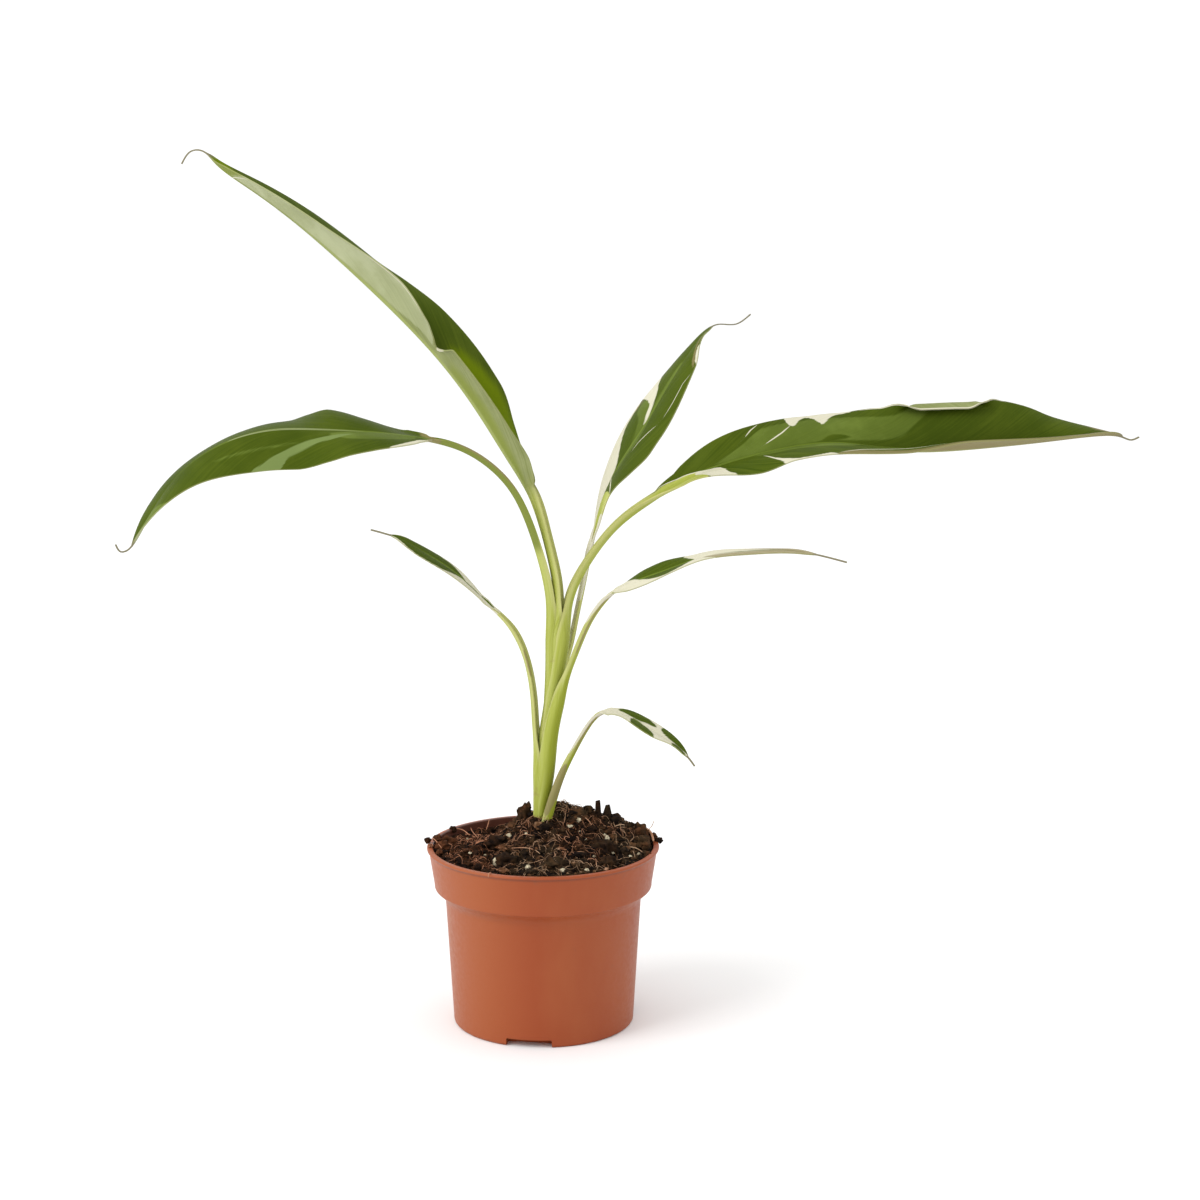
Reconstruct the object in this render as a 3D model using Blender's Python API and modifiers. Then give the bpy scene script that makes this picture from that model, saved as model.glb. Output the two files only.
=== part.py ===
"""Potted banana plant: a young variegated banana in a small nursery pot.

The pot is a thin turned shell of terracotta-coloured plastic, filled with heaped potting soil.
One false stem of wrapped leaf sheaths stands in the soil and carries six leaves, and a seventh,
low leaf rises from the soil beside it. Every leaf is one solid: a channelled petiole, a blade
folded along its midrib and a fine thread at the tip.

Axes: +Z up, the origin is the centre of the pot's base, and the plant is seen from -Y.
Sizes are in millimetres and are turned into metres as each mesh is made.
"""
import math
from dataclasses import dataclass

import bmesh
import bpy
import numpy as np
from mathutils import Matrix, Vector, noise

MM = 0.001
GAP = 0.3

# Pot: a turned shell with a rim band and a small lip, on a thick base with three drain notches
POT_HEIGHT = 46.7
BASE_RADIUS = 23.4
BODY_TOP_RADIUS = 25.3
BODY_TOP_Z = 33.4
BAND_RADIUS = 27.9
BAND_BOTTOM_Z = 35.6
RIM_RADIUS = 29.4
LIP_RADIUS = 30.0
LIP_HEIGHT = 0.9
POT_WALL = 1.0
FLOOR_THICKNESS = 3.2
EDGE_ROUND = 0.8
POT_STEPS = 48
NOTCH_WIDTH = 11.0
NOTCH_HEIGHT = 2.1
NOTCH_DEPTH = 4.4
NOTCH_AZIMUTHS = (261.0, 21.0, 141.0)
DRAIN_RADIUS = 1.4
DRAIN_CENTRE_RADIUS = 21.4

# Soil: height of the surface where it meets the pot, and the swells that heap it up
SOIL_EDGE_Z = 45.4
SOIL_RINGS = 13
SOIL_STEPS = 44
SOIL_ROUGHNESS = 0.9
SOIL_GRAIN = 5.0


@dataclass(frozen=True)
class Swell:
    """A round rise or hollow of the soil: centre, height and reach in plan."""
    x: float
    y: float
    height: float
    reach: float


SWELLS = (
    Swell(x=0.0, y=0.0, height=6.6, reach=12.0),
    Swell(x=7.0, y=6.0, height=5.6, reach=12.0),
    Swell(x=21.0, y=3.0, height=5.0, reach=9.0),
    Swell(x=6.0, y=-15.0, height=2.4, reach=9.0),
    Swell(x=-19.0, y=-7.0, height=2.2, reach=8.0),
    Swell(x=-14.0, y=19.0, height=-3.2, reach=9.0),
)


@dataclass(frozen=True)
class Lump:
    """A clod or grain fused into the soil: its centre in plan, how far that stands above the
    surface, its half sizes and its turn about Z in degrees."""
    x: float
    y: float
    lift: float
    half_x: float
    half_y: float
    half_z: float
    turn: float = 0.0


CLODS = (
    Lump(x=-4.2, y=2.6, lift=1.6, half_x=1.5, half_y=1.4, half_z=4.0),
    Lump(x=-26.0, y=-3.0, lift=1.0, half_x=1.7, half_y=1.8, half_z=1.6, turn=20.0),
    Lump(x=-24.8, y=3.6, lift=0.4, half_x=2.2, half_y=2.0, half_z=1.8, turn=50.0),
    Lump(x=-12.0, y=-6.0, lift=0.3, half_x=3.2, half_y=2.4, half_z=1.9, turn=15.0),
    Lump(x=-9.0, y=-15.5, lift=0.3, half_x=3.6, half_y=2.8, half_z=2.1, turn=-30.0),
    Lump(x=3.0, y=-20.5, lift=0.3, half_x=3.0, half_y=2.2, half_z=1.9, turn=10.0),
    Lump(x=9.5, y=1.0, lift=0.3, half_x=3.4, half_y=2.8, half_z=2.2, turn=35.0),
    Lump(x=15.0, y=-9.0, lift=0.3, half_x=3.8, half_y=3.0, half_z=2.2, turn=-20.0),
    Lump(x=24.6, y=3.6, lift=0.5, half_x=2.7, half_y=2.9, half_z=2.3, turn=25.0),
    Lump(x=25.6, y=-2.4, lift=0.6, half_x=1.9, half_y=2.4, half_z=2.0, turn=-10.0),
    Lump(x=17.5, y=13.0, lift=0.3, half_x=3.6, half_y=3.2, half_z=2.2, turn=60.0),
    Lump(x=-3.0, y=15.0, lift=0.3, half_x=3.2, half_y=2.8, half_z=1.9, turn=5.0),
    Lump(x=17.0, y=-17.0, lift=0.3, half_x=2.6, half_y=2.0, half_z=1.7, turn=-45.0),
)
GRAINS = (
    Lump(x=-11.8, y=-21.5, lift=0.3, half_x=1.25, half_y=1.2, half_z=1.2),
    Lump(x=-4.6, y=-24.4, lift=0.2, half_x=0.8, half_y=0.8, half_z=0.8),
    Lump(x=-9.6, y=-3.0, lift=0.3, half_x=1.1, half_y=1.0, half_z=1.0),
    Lump(x=20.6, y=-6.0, lift=0.3, half_x=1.1, half_y=0.9, half_z=1.2),
    Lump(x=8.4, y=-2.8, lift=0.2, half_x=1.0, half_y=0.9, half_z=0.8),
)
BARK = Lump(x=-10.6, y=-10.4, lift=0.3, half_x=1.3, half_y=0.9, half_z=2.8, turn=20.0)


@dataclass(frozen=True)
class Spike:
    """A splinter of bark standing up out of the soil, and how deep its foot is sunk."""
    x: float
    y: float
    radius: float
    height: float
    sunk: float


SPIKES = (
    Spike(x=14.2, y=2.0, radius=1.3, height=6.4, sunk=1.5),
    Spike(x=17.6, y=3.2, radius=1.4, height=5.2, sunk=1.5),
)


@dataclass(frozen=True)
class Sheath:
    """One wrapped sheath of the false stem: points of its centre line with a radius at each."""
    name: str
    points: tuple
    radii: tuple


# Each sheath ends where its own petiole starts
SHEATHS = (
    Sheath(
        name="core",
        points=((-1.2, -0.1, 47.0), (-0.9, 0.1, 56.0), (-0.1, 0.4, 65.0), (1.2, 0.6, 76.0),
                (2.5, 0.6, 86.0), (3.5, 0.5, 98.0), (3.9, 0.3, 112.0)),
        radii=(1.4, 1.6, 2.1, 2.2, 2.0, 2.1, 1.3)),
    Sheath(
        name="left",
        points=((0.6, 0.0, 66.0), (1.5, -0.2, 78.0), (2.2, -0.3, 90.0), (2.2, -0.4, 102.0),
                (1.6, -0.5, 112.0)),
        radii=(1.4, 1.6, 1.6, 1.45, 1.0)),
    Sheath(
        name="right",
        points=((0.6, 0.2, 70.0), (2.4, -0.3, 84.0), (4.4, -0.6, 96.0), (5.9, -0.8, 105.0),
                (6.9, -0.8, 111.0)),
        radii=(1.6, 1.9, 1.9, 1.6, 1.2)),
    Sheath(
        name="rear",
        points=((0.6, 1.4, 70.0), (2.6, 2.2, 82.0), (4.9, 3.2, 91.0), (7.0, 4.2, 97.4)),
        radii=(1.2, 1.2, 1.0, 0.7)),
    Sheath(
        name="front",
        points=((-0.8, -0.9, 47.0), (-0.5, -1.0, 56.0), (0.8, -1.3, 66.0), (2.1, -2.0, 76.0),
                (4.2, -3.0, 86.0), (7.2, -4.4, 95.4)),
        radii=(1.3, 1.5, 1.9, 1.9, 1.6, 0.8)),
    Sheath(
        name="outer",
        points=((-1.3, -0.3, 47.0), (-1.35, -0.2, 56.0), (-1.4, -0.2, 66.0), (-2.0, 0.0, 77.4)),
        radii=(1.2, 1.2, 1.15, 0.8)),
)
SHEATH_RINGS = 12
STEM_HOLE_CENTRE = (-0.9, -0.4)
STEM_HOLE_RADIUS = 2.4
STEM_FOOT_Z = 47.0

# Leaf solids
BLADE_THICKNESS = 0.6
PETIOLE_DEPTH_PER_HALF_WIDTH = 1.15
PETIOLE_CUP = -28.0
BLADE_CUP = 16.0
CHANNEL_RISE = 48.0
THREAD_HALF_WIDTH = 0.3


@dataclass(frozen=True)
class Leaf:
    """One leaf.

    route: points of the midrib, from the stem to the end of the tip thread.
    blade: the numbers of the route points where the blade starts and ends.
    half_width, peak, fullness: the widest half width of the blade, where along it that lies
        (0 to 1), and how full its outline is (smaller is fuller).
    left_rise, right_rise: how steeply each half stands up from the flat, in degrees at
        stations along the blade; left and right are as seen from the stem along the leaf.
    """
    name: str
    azimuth: float
    route: tuple
    blade: tuple
    petiole_half_width: float
    half_width: float
    peak: float
    fullness: float
    left_rise: tuple
    right_rise: tuple
    rings: int
    columns: int


LEAVES = (
    Leaf(
        name="leaf_tall_left",
        azimuth=167.0,
        route=((3.9, 0.3, 112.35), (2.5, 0.6, 121.5), (-0.6, 1.3, 133.7), (-3.0, 1.8, 139.8),
               (-8.0, 2.8, 147.2), (-14.6, 4.1, 156.5), (-26.7, 6.8, 172.3),
               (-46.4, 11.1, 191.7), (-62.1, 14.5, 205.4), (-73.5, 17.0, 213.5),
               (-82.4, 19.0, 219.8), (-85.1, 19.6, 222.6), (-87.3, 20.1, 223.5),
               (-89.6, 20.6, 222.9), (-91.7, 21.1, 220.0)),
        blade=(3, 10),
        petiole_half_width=1.3,
        half_width=11.5,
        peak=0.42,
        fullness=0.75,
        left_rise=((0.0, 60.0), (0.13, 46.0), (0.33, 31.0), (0.4, 34.0), (0.5, 47.0),
                   (0.7, 40.0), (0.86, 39.0), (0.94, 14.0), (1.0, 10.0)),
        right_rise=((0.0, 45.0), (0.07, 22.0), (0.13, 15.0), (0.22, 34.0), (0.4, 35.0),
                    (0.5, 26.0), (0.6, 19.0), (0.8, 21.0), (1.0, 28.0)),
        rings=34,
        columns=8),
    Leaf(
        name="leaf_drooping_left",
        azimuth=204.0,
        route=((1.6, -0.5, 112.35), (-0.4, -0.5, 121.7), (-4.6, -1.7, 134.2), (-9.5, -3.9, 142.6),
               (-17.5, -7.5, 149.6), (-27.1, -11.5, 153.5), (-39.2, -16.5, 155.7),
               (-53.2, -22.5, 157.2), (-64.2, -27.3, 157.7), (-74.7, -31.9, 155.3),
               (-84.0, -36.0, 149.5), (-91.3, -39.3, 140.1), (-96.2, -41.5, 131.8),
               (-97.8, -42.2, 130.6), (-98.9, -42.7, 130.7), (-99.8, -43.1, 132.4)),
        blade=(5, 12),
        petiole_half_width=0.9,
        half_width=11.5,
        peak=0.42,
        fullness=0.75,
        left_rise=((0.0, 30.0), (0.07, -8.0), (0.2, -23.0), (0.4, -49.0), (0.6, -40.0),
                   (0.8, -10.0), (0.93, 16.0), (1.0, 30.0)),
        right_rise=((0.0, 40.0), (0.07, 5.0), (0.27, 20.0), (0.33, 14.0), (0.45, -5.0),
                    (0.67, -13.0), (0.85, -6.0), (1.0, 20.0)),
        rings=32,
        columns=8),
    Leaf(
        name="leaf_slender_left",
        azimuth=155.0,
        route=((-2.0, 0.0, 77.75), (-2.5, 0.0, 86.0), (-4.5, 0.7, 96.4), (-8.4, 2.7, 103.8),
               (-13.2, 5.1, 108.3), (-21.6, 9.3, 115.6), (-30.3, 13.7, 120.7),
               (-37.2, 17.1, 124.2), (-39.8, 18.4, 124.8), (-42.4, 19.7, 125.3),
               (-45.1, 21.0, 125.8)),
        blade=(4, 8),
        petiole_half_width=0.65,
        half_width=3.3,
        peak=0.55,
        fullness=0.95,
        left_rise=((0.0, 20.0), (0.15, 0.0), (1.0, 0.0)),
        right_rise=((0.0, 42.0), (0.15, 5.0), (0.8, 3.0), (1.0, 12.0)),
        rings=22,
        columns=6),
    Leaf(
        name="leaf_upright_right",
        azimuth=30.0,
        route=((7.1, 4.2, 97.75), (8.8, 4.6, 105.8), (10.6, 5.6, 114.4), (12.8, 6.8, 126.0),
               (15.5, 8.3, 136.3), (20.9, 12.0, 146.1), (26.3, 15.2, 154.0),
               (32.5, 18.7, 164.2), (39.7, 22.7, 174.4), (43.9, 25.0, 178.6),
               (47.1, 26.7, 178.9), (50.3, 28.5, 178.9), (53.9, 30.5, 181.2)),
        blade=(3, 9),
        petiole_half_width=0.65,
        half_width=9.3,
        peak=0.5,
        fullness=0.9,
        left_rise=((0.0, 40.0), (0.1, -8.0), (0.5, -5.0), (0.8, -10.0), (1.0, 0.0)),
        right_rise=((0.0, 50.0), (0.16, 42.0), (0.28, 8.0), (0.4, 1.0), (0.8, 0.0), (0.93, 18.0),
                    (1.0, 10.0)),
        rings=30,
        columns=8),
    Leaf(
        name="leaf_broad_right",
        azimuth=10.0,
        route=((7.1, -0.8, 111.35), (8.9, -0.5, 116.1), (12.7, 0.2, 122.4), (18.2, 1.3, 129.2),
               (23.6, 2.4, 133.7), (29.5, 3.4, 137.6), (36.3, 4.6, 141.3), (48.5, 6.8, 145.6),
               (61.6, 9.2, 148.5), (75.3, 11.7, 149.6), (91.8, 14.6, 147.9),
               (112.9, 18.4, 148.1), (131.5, 21.8, 149.3), (146.3, 24.4, 150.2),
               (150.9, 25.3, 149.6), (153.4, 25.7, 148.8), (155.5, 26.1, 149.5)),
        blade=(5, 14),
        petiole_half_width=1.05,
        half_width=12.7,
        peak=0.55,
        fullness=0.62,
        left_rise=((0.0, 45.0), (0.07, 38.0), (0.15, 49.0), (0.33, 27.0), (0.47, 47.0),
                   (0.6, 54.0), (0.73, 65.0), (0.8, 54.0), (0.87, 27.0), (0.93, 6.0),
                   (1.0, 0.0)),
        right_rise=((0.0, -10.0), (0.07, 2.0), (0.2, -18.0), (0.28, -7.0), (0.4, -2.0),
                    (0.5, 10.0), (0.65, 16.0), (0.9, 16.0), (1.0, 10.0)),
        rings=34,
        columns=8),
    Leaf(
        name="leaf_slender_right",
        azimuth=340.0,
        route=((7.35, -4.5, 95.7), (9.4, -5.2, 100.7), (12.4, -6.3, 107.1), (15.4, -7.2, 111.7),
               (18.1, -8.0, 114.6), (22.6, -9.5, 117.2), (31.6, -12.7, 121.0),
               (41.0, -16.0, 125.0), (50.7, -19.3, 126.8), (60.3, -22.7, 127.6),
               (67.3, -25.2, 127.0), (71.9, -26.8, 126.1), (74.6, -27.7, 125.5)),
        blade=(4, 10),
        petiole_half_width=0.65,
        half_width=4.0,
        peak=0.33,
        fullness=0.85,
        left_rise=((0.0, 28.0), (0.17, 34.0), (0.25, 36.0), (0.42, 7.0), (0.8, 7.0), (1.0, 10.0)),
        right_rise=((0.0, -20.0), (0.08, -25.0), (0.33, -13.0), (0.5, -2.0), (0.9, -12.0),
                    (1.0, 0.0)),
        rings=24,
        columns=6),
    Leaf(
        name="leaf_low_right",
        azimuth=340.0,
        route=((1.8, -3.3, 48.0), (2.3, -3.3, 54.0), (3.4, -3.3, 60.5), (5.0, -3.6, 66.5),
               (7.7, -4.4, 72.5), (11.3, -5.5, 79.0), (13.7, -6.2, 82.0), (15.9, -6.8, 83.4),
               (19.9, -8.1, 83.4), (25.3, -9.9, 80.9), (32.4, -12.3, 77.0), (36.7, -13.7, 73.5),
               (38.5, -14.3, 71.2)),
        blade=(7, 11),
        petiole_half_width=0.7,
        half_width=3.8,
        peak=0.5,
        fullness=0.75,
        left_rise=((0.0, 42.0), (0.1, 14.0), (0.3, 18.0), (0.6, 9.0), (1.0, 12.0)),
        right_rise=((0.0, 10.0), (0.1, -17.0), (0.25, 3.0), (0.6, -3.0), (0.85, 8.0), (1.0, 0.0)),
        rings=24,
        columns=6),
)

COLOURS = {
    "terracotta_plastic": ((0.46, 0.13, 0.055), 0.45),
    "potting_soil": ((0.035, 0.018, 0.012), 0.95),
    "sheath_green": ((0.42, 0.48, 0.11), 0.5),
    "leaf_green": ((0.10, 0.20, 0.025), 0.45),
}


def clear_scene():
    """Remove every object that the file opens with."""
    for found in list(bpy.data.objects):
        bpy.data.objects.remove(found, do_unlink=True)


def make_collection(name):
    """Return a new collection linked to the scene."""
    collection = bpy.data.collections.new(name)
    bpy.context.scene.collection.children.link(collection)
    return collection


def make_material(name):
    """Return a Principled BSDF material with the named colour and roughness."""
    colour, roughness = COLOURS[name]
    material = bpy.data.materials.new(name)
    material.use_nodes = True
    shader = material.node_tree.nodes["Principled BSDF"]
    shader.inputs["Base Color"].default_value = (*colour, 1.0)
    shader.inputs["Roughness"].default_value = roughness
    shader.inputs["Metallic"].default_value = 0.0
    material.diffuse_color = (*colour, 1.0)
    return material


def add_object(name, mesh, collection):
    """Link a mesh as a new object in a collection."""
    made = bpy.data.objects.new(name, mesh)
    collection.objects.link(made)
    return made


def evaluated_mesh(source, name):
    """Return a copy of an object's mesh with its modifiers applied, in world space."""
    bpy.context.view_layer.update()
    seen = source.evaluated_get(bpy.context.evaluated_depsgraph_get())
    mesh = bpy.data.meshes.new_from_object(seen)
    mesh.name = name
    mesh.transform(source.matrix_world)
    return mesh


def turned(name, profile, steps, collection):
    """Return an object turned about Z from a profile of (radius, height) points."""
    shape = bmesh.new()
    ring = [shape.verts.new((radius * MM, 0.0, height * MM)) for radius, height in profile]
    for one, two in zip(ring, ring[1:]):
        shape.edges.new((one, two))
    mesh = bpy.data.meshes.new(name)
    shape.to_mesh(mesh)
    shape.free()
    made = add_object(name, mesh, collection)
    screw = made.modifiers.new("Turn", "SCREW")
    screw.steps = steps
    screw.render_steps = steps
    screw.use_merge_vertices = True
    screw.merge_threshold = 0.0001
    screw.use_smooth_shade = True
    return made


def boolean(target, tool, operation, solver="EXACT"):
    """Add a Boolean modifier to target."""
    modifier = target.modifiers.new(tool.name, "BOOLEAN")
    modifier.operation = operation
    modifier.object = tool
    modifier.solver = solver
    return modifier


def hide_cutter(cutter):
    """Show a cutter as a wire that is never rendered."""
    cutter.hide_render = True
    cutter.display_type = "WIRE"


def smooth_curve(points, samples):
    """Return points evenly spaced by length along a natural cubic spline, and the arc lengths.

    The second value is the arc length at each given point, the third the length in all.
    """
    given = np.array(points, float)
    count = len(given)
    knots = np.r_[0.0, np.cumsum(np.sqrt(np.linalg.norm(np.diff(given, axis=0), axis=1)))]
    step = np.diff(knots)
    matrix = np.eye(count)
    right = np.zeros((count, 3))
    for i in range(1, count - 1):
        matrix[i, i - 1:i + 2] = (step[i - 1], 2.0 * (step[i - 1] + step[i]), step[i])
        slope_out = (given[i + 1] - given[i]) / step[i]
        slope_in = (given[i] - given[i - 1]) / step[i - 1]
        right[i] = 6.0 * (slope_out - slope_in)
    bend = np.linalg.solve(matrix, right)
    fine = np.linspace(0.0, knots[-1], 40 * count)
    place = np.clip(np.searchsorted(knots, fine, side="right") - 1, 0, count - 2)
    ahead = (fine - knots[place])[:, None]
    span = step[place][:, None]
    slope = (given[place + 1] - given[place]) / span
    slope = slope - span * (2.0 * bend[place] + bend[place + 1]) / 6.0
    curve = given[place] + ahead * slope + ahead ** 2 * bend[place] / 2.0
    curve = curve + ahead ** 3 * (bend[place + 1] - bend[place]) / (6.0 * span)
    length = np.r_[0.0, np.cumsum(np.linalg.norm(np.diff(curve, axis=0), axis=1))]
    at_points = np.interp(knots, fine, length)
    wanted = np.linspace(0.0, length[-1], samples)
    even = np.stack([np.interp(wanted, length, curve[:, axis]) for axis in range(3)], axis=1)
    return even, at_points, length[-1]


def eased(keys, station):
    """Return the value at a station from (station, value) keys joined by smooth steps."""
    if station <= keys[0][0]:
        return keys[0][1]
    for (start, low), (end, high) in zip(keys, keys[1:]):
        if station <= end:
            part = (station - start) / (end - start)
            return low + (high - low) * part * part * (3.0 - 2.0 * part)
    return keys[-1][1]


def make_pot(parts, cutters):
    """Turn the pot's shell and cut the drain notches and holes out of its base."""
    inner_band = BAND_RADIUS - POT_WALL
    inner_body = BODY_TOP_RADIUS - POT_WALL
    inner_base = BASE_RADIUS - POT_WALL
    profile = (
        (0.0, FLOOR_THICKNESS),
        (inner_base - EDGE_ROUND, FLOOR_THICKNESS),
        (inner_base, FLOOR_THICKNESS + EDGE_ROUND),
        (inner_body, BODY_TOP_Z + POT_WALL),
        (inner_body + EDGE_ROUND, BAND_BOTTOM_Z + POT_WALL),
        (inner_band, BAND_BOTTOM_Z + 2.0 * POT_WALL),
        (RIM_RADIUS - POT_WALL, POT_HEIGHT - LIP_HEIGHT),
        (RIM_RADIUS - POT_WALL, POT_HEIGHT),
        (LIP_RADIUS - 0.3, POT_HEIGHT),
        (LIP_RADIUS, POT_HEIGHT - 0.3),
        (LIP_RADIUS, POT_HEIGHT - LIP_HEIGHT),
        (RIM_RADIUS, POT_HEIGHT - LIP_HEIGHT - 0.3),
        (BAND_RADIUS, BAND_BOTTOM_Z),
        (BODY_TOP_RADIUS + EDGE_ROUND, BODY_TOP_Z + EDGE_ROUND),
        (BODY_TOP_RADIUS, BODY_TOP_Z - EDGE_ROUND),
        (BASE_RADIUS, EDGE_ROUND),
        (BASE_RADIUS - 0.3 * EDGE_ROUND, 0.3 * EDGE_ROUND),
        (BASE_RADIUS - EDGE_ROUND, 0.0),
        (0.0, 0.0),
    )
    pot = turned("pot", profile, POT_STEPS, parts)
    for number, azimuth in enumerate(NOTCH_AZIMUTHS):
        turn = Matrix.Rotation(math.radians(azimuth), 4, "Z")
        block = bmesh.new()
        bmesh.ops.create_cube(block, size=1.0)
        size = Vector((2.0 * NOTCH_DEPTH, NOTCH_WIDTH, 2.0 * NOTCH_HEIGHT)) * MM
        bmesh.ops.scale(block, vec=size, verts=block.verts)
        bmesh.ops.translate(block, vec=(BASE_RADIUS * MM, 0.0, 0.0), verts=block.verts)
        bmesh.ops.transform(block, matrix=turn, verts=block.verts)
        boolean(pot, cutter_from(block, f"notch_{number}", cutters), "DIFFERENCE")
        drill = bmesh.new()
        bmesh.ops.create_cone(drill, cap_ends=True, segments=12, radius1=DRAIN_RADIUS * MM,
                              radius2=DRAIN_RADIUS * MM, depth=4.0 * FLOOR_THICKNESS * MM)
        bmesh.ops.translate(drill, vec=(DRAIN_CENTRE_RADIUS * MM, 0.0, 0.0), verts=drill.verts)
        bmesh.ops.transform(drill, matrix=turn, verts=drill.verts)
        boolean(pot, cutter_from(drill, f"drain_{number}", cutters), "DIFFERENCE")
    return pot


def cutter_from(shape, name, cutters):
    """Make a hidden cutter object from a bmesh and free the bmesh."""
    mesh = bpy.data.meshes.new(name)
    shape.to_mesh(mesh)
    shape.free()
    cutter = add_object(name, mesh, cutters)
    hide_cutter(cutter)
    return cutter


def soil_height(x, y):
    """Return the height of the soil's surface over a point in plan."""
    relief = 0.0
    for swell in SWELLS:
        distance = math.hypot(x - swell.x, y - swell.y) / swell.reach
        relief += swell.height * math.exp(-distance * distance)
    rough = noise.noise(Vector((x / SOIL_GRAIN, y / SOIL_GRAIN, 3.7)))
    fine = noise.noise(Vector((2.3 * x / SOIL_GRAIN, 2.3 * y / SOIL_GRAIN, 9.1)))
    relief += SOIL_ROUGHNESS * (rough + 0.6 * fine)
    return SOIL_EDGE_Z + relief * (1.0 - (math.hypot(x, y) / RIM_RADIUS) ** 8)


def lump_mesh(lump, name, subdivisions, ruggedness, seed):
    """Return the mesh of a rough, rounded lump."""
    shape = bmesh.new()
    bmesh.ops.create_icosphere(shape, subdivisions=subdivisions, radius=1.0)
    for vertex in shape.verts:
        vertex.co *= 1.0 + ruggedness * noise.noise(vertex.co * 1.7 + Vector((seed, 0.0, 0.0)))
    half_sizes = Vector((lump.half_x, lump.half_y, lump.half_z)) * MM
    bmesh.ops.scale(shape, vec=half_sizes, verts=shape.verts)
    turn = Matrix.Rotation(math.radians(lump.turn), 4, "Z")
    height = soil_height(lump.x, lump.y) + lump.lift
    place = Matrix.Translation(Vector((lump.x, lump.y, height)) * MM)
    bmesh.ops.transform(shape, matrix=place @ turn, verts=shape.verts)
    mesh = bpy.data.meshes.new(name)
    shape.to_mesh(mesh)
    shape.free()
    return mesh


def spike_mesh(spike, name):
    """Return the mesh of a pointed splinter."""
    shape = bmesh.new()
    bmesh.ops.create_cone(shape, cap_ends=True, segments=6, radius1=spike.radius * MM,
                          radius2=0.25 * spike.radius * MM, depth=spike.height * MM)
    middle = soil_height(spike.x, spike.y) - spike.sunk + spike.height / 2.0
    bmesh.ops.translate(shape, vec=Vector((spike.x, spike.y, middle)) * MM, verts=shape.verts)
    mesh = bpy.data.meshes.new(name)
    shape.to_mesh(mesh)
    shape.free()
    return mesh


def join_by_union(body, meshes, workshop):
    """Fuse meshes into a body, one after another, and empty the collection that held them."""
    for number, mesh in enumerate(meshes):
        tool = add_object(f"{body.name}_fused_{number}", mesh, workshop)
        boolean(body, tool, "UNION", "MANIFOLD")
    body.data = evaluated_mesh(body, body.name)
    body.modifiers.clear()
    for used in list(workshop.objects):
        bpy.data.objects.remove(used, do_unlink=True)
    return body


def make_soil(parts, cutters, workshop):
    """Make the heaped soil: a turned plug with a rough top, fused clods and plain holes."""
    side = BASE_RADIUS - POT_WALL - GAP
    neck = BODY_TOP_RADIUS - POT_WALL - GAP
    shoulder = BAND_RADIUS - POT_WALL - GAP
    top = RIM_RADIUS - POT_WALL - GAP
    crown = [(top * ring / SOIL_RINGS, SOIL_EDGE_Z) for ring in range(SOIL_RINGS + 1)]
    flank = [
        (top, SOIL_EDGE_Z - 0.6),
        (shoulder, BAND_BOTTOM_Z + 2.0 * POT_WALL + GAP),
        (neck, BAND_BOTTOM_Z + POT_WALL + GAP),
        (neck, BODY_TOP_Z + POT_WALL),
        (side, FLOOR_THICKNESS + EDGE_ROUND + GAP),
        (side - EDGE_ROUND, FLOOR_THICKNESS + GAP),
        (0.0, FLOOR_THICKNESS + GAP),
    ]
    soil = turned("soil", crown + flank, SOIL_STEPS, workshop)
    mesh = evaluated_mesh(soil, "soil")
    bpy.data.objects.remove(soil, do_unlink=True)
    for vertex in mesh.vertices:
        if vertex.co.z > (SOIL_EDGE_Z - 0.01) * MM:
            vertex.co.z = soil_height(vertex.co.x / MM, vertex.co.y / MM) * MM
    soil = add_object("soil", mesh, parts)
    lumps = [lump_mesh(lump, "clod", 1, 0.5, seed) for seed, lump in enumerate(CLODS)]
    lumps += [lump_mesh(lump, "grain", 1, 0.2, seed) for seed, lump in enumerate(GRAINS)]
    lumps.append(lump_mesh(BARK, "bark", 1, 0.3, 40))
    lumps += [spike_mesh(spike, "spike") for spike in SPIKES]
    join_by_union(soil, lumps, workshop)
    hole_depth = 20.0
    for name, centre, radius, foot in stem_holes():
        drill = bmesh.new()
        bmesh.ops.create_cone(drill, cap_ends=True, segments=20, radius1=radius * MM,
                              radius2=radius * MM, depth=hole_depth * MM)
        middle = Vector((*centre, foot - GAP + hole_depth / 2.0)) * MM
        bmesh.ops.translate(drill, vec=middle, verts=drill.verts)
        boolean(soil, cutter_from(drill, name, cutters), "DIFFERENCE")
    return soil


def stem_holes():
    """Return the name, centre, radius and foot height of each plain hole in the soil."""
    low_leaf = LEAVES[-1]
    foot = low_leaf.route[0]
    above = low_leaf.route[1]
    centre = ((foot[0] + above[0]) / 2.0, (foot[1] + above[1]) / 2.0)
    leaf_radius = low_leaf.petiole_half_width + petiole_depth(low_leaf) / 2.0 + GAP
    return (
        ("stem_hole", STEM_HOLE_CENTRE, STEM_HOLE_RADIUS, STEM_FOOT_Z),
        ("low_leaf_hole", centre, leaf_radius, foot[2]),
    )


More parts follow.
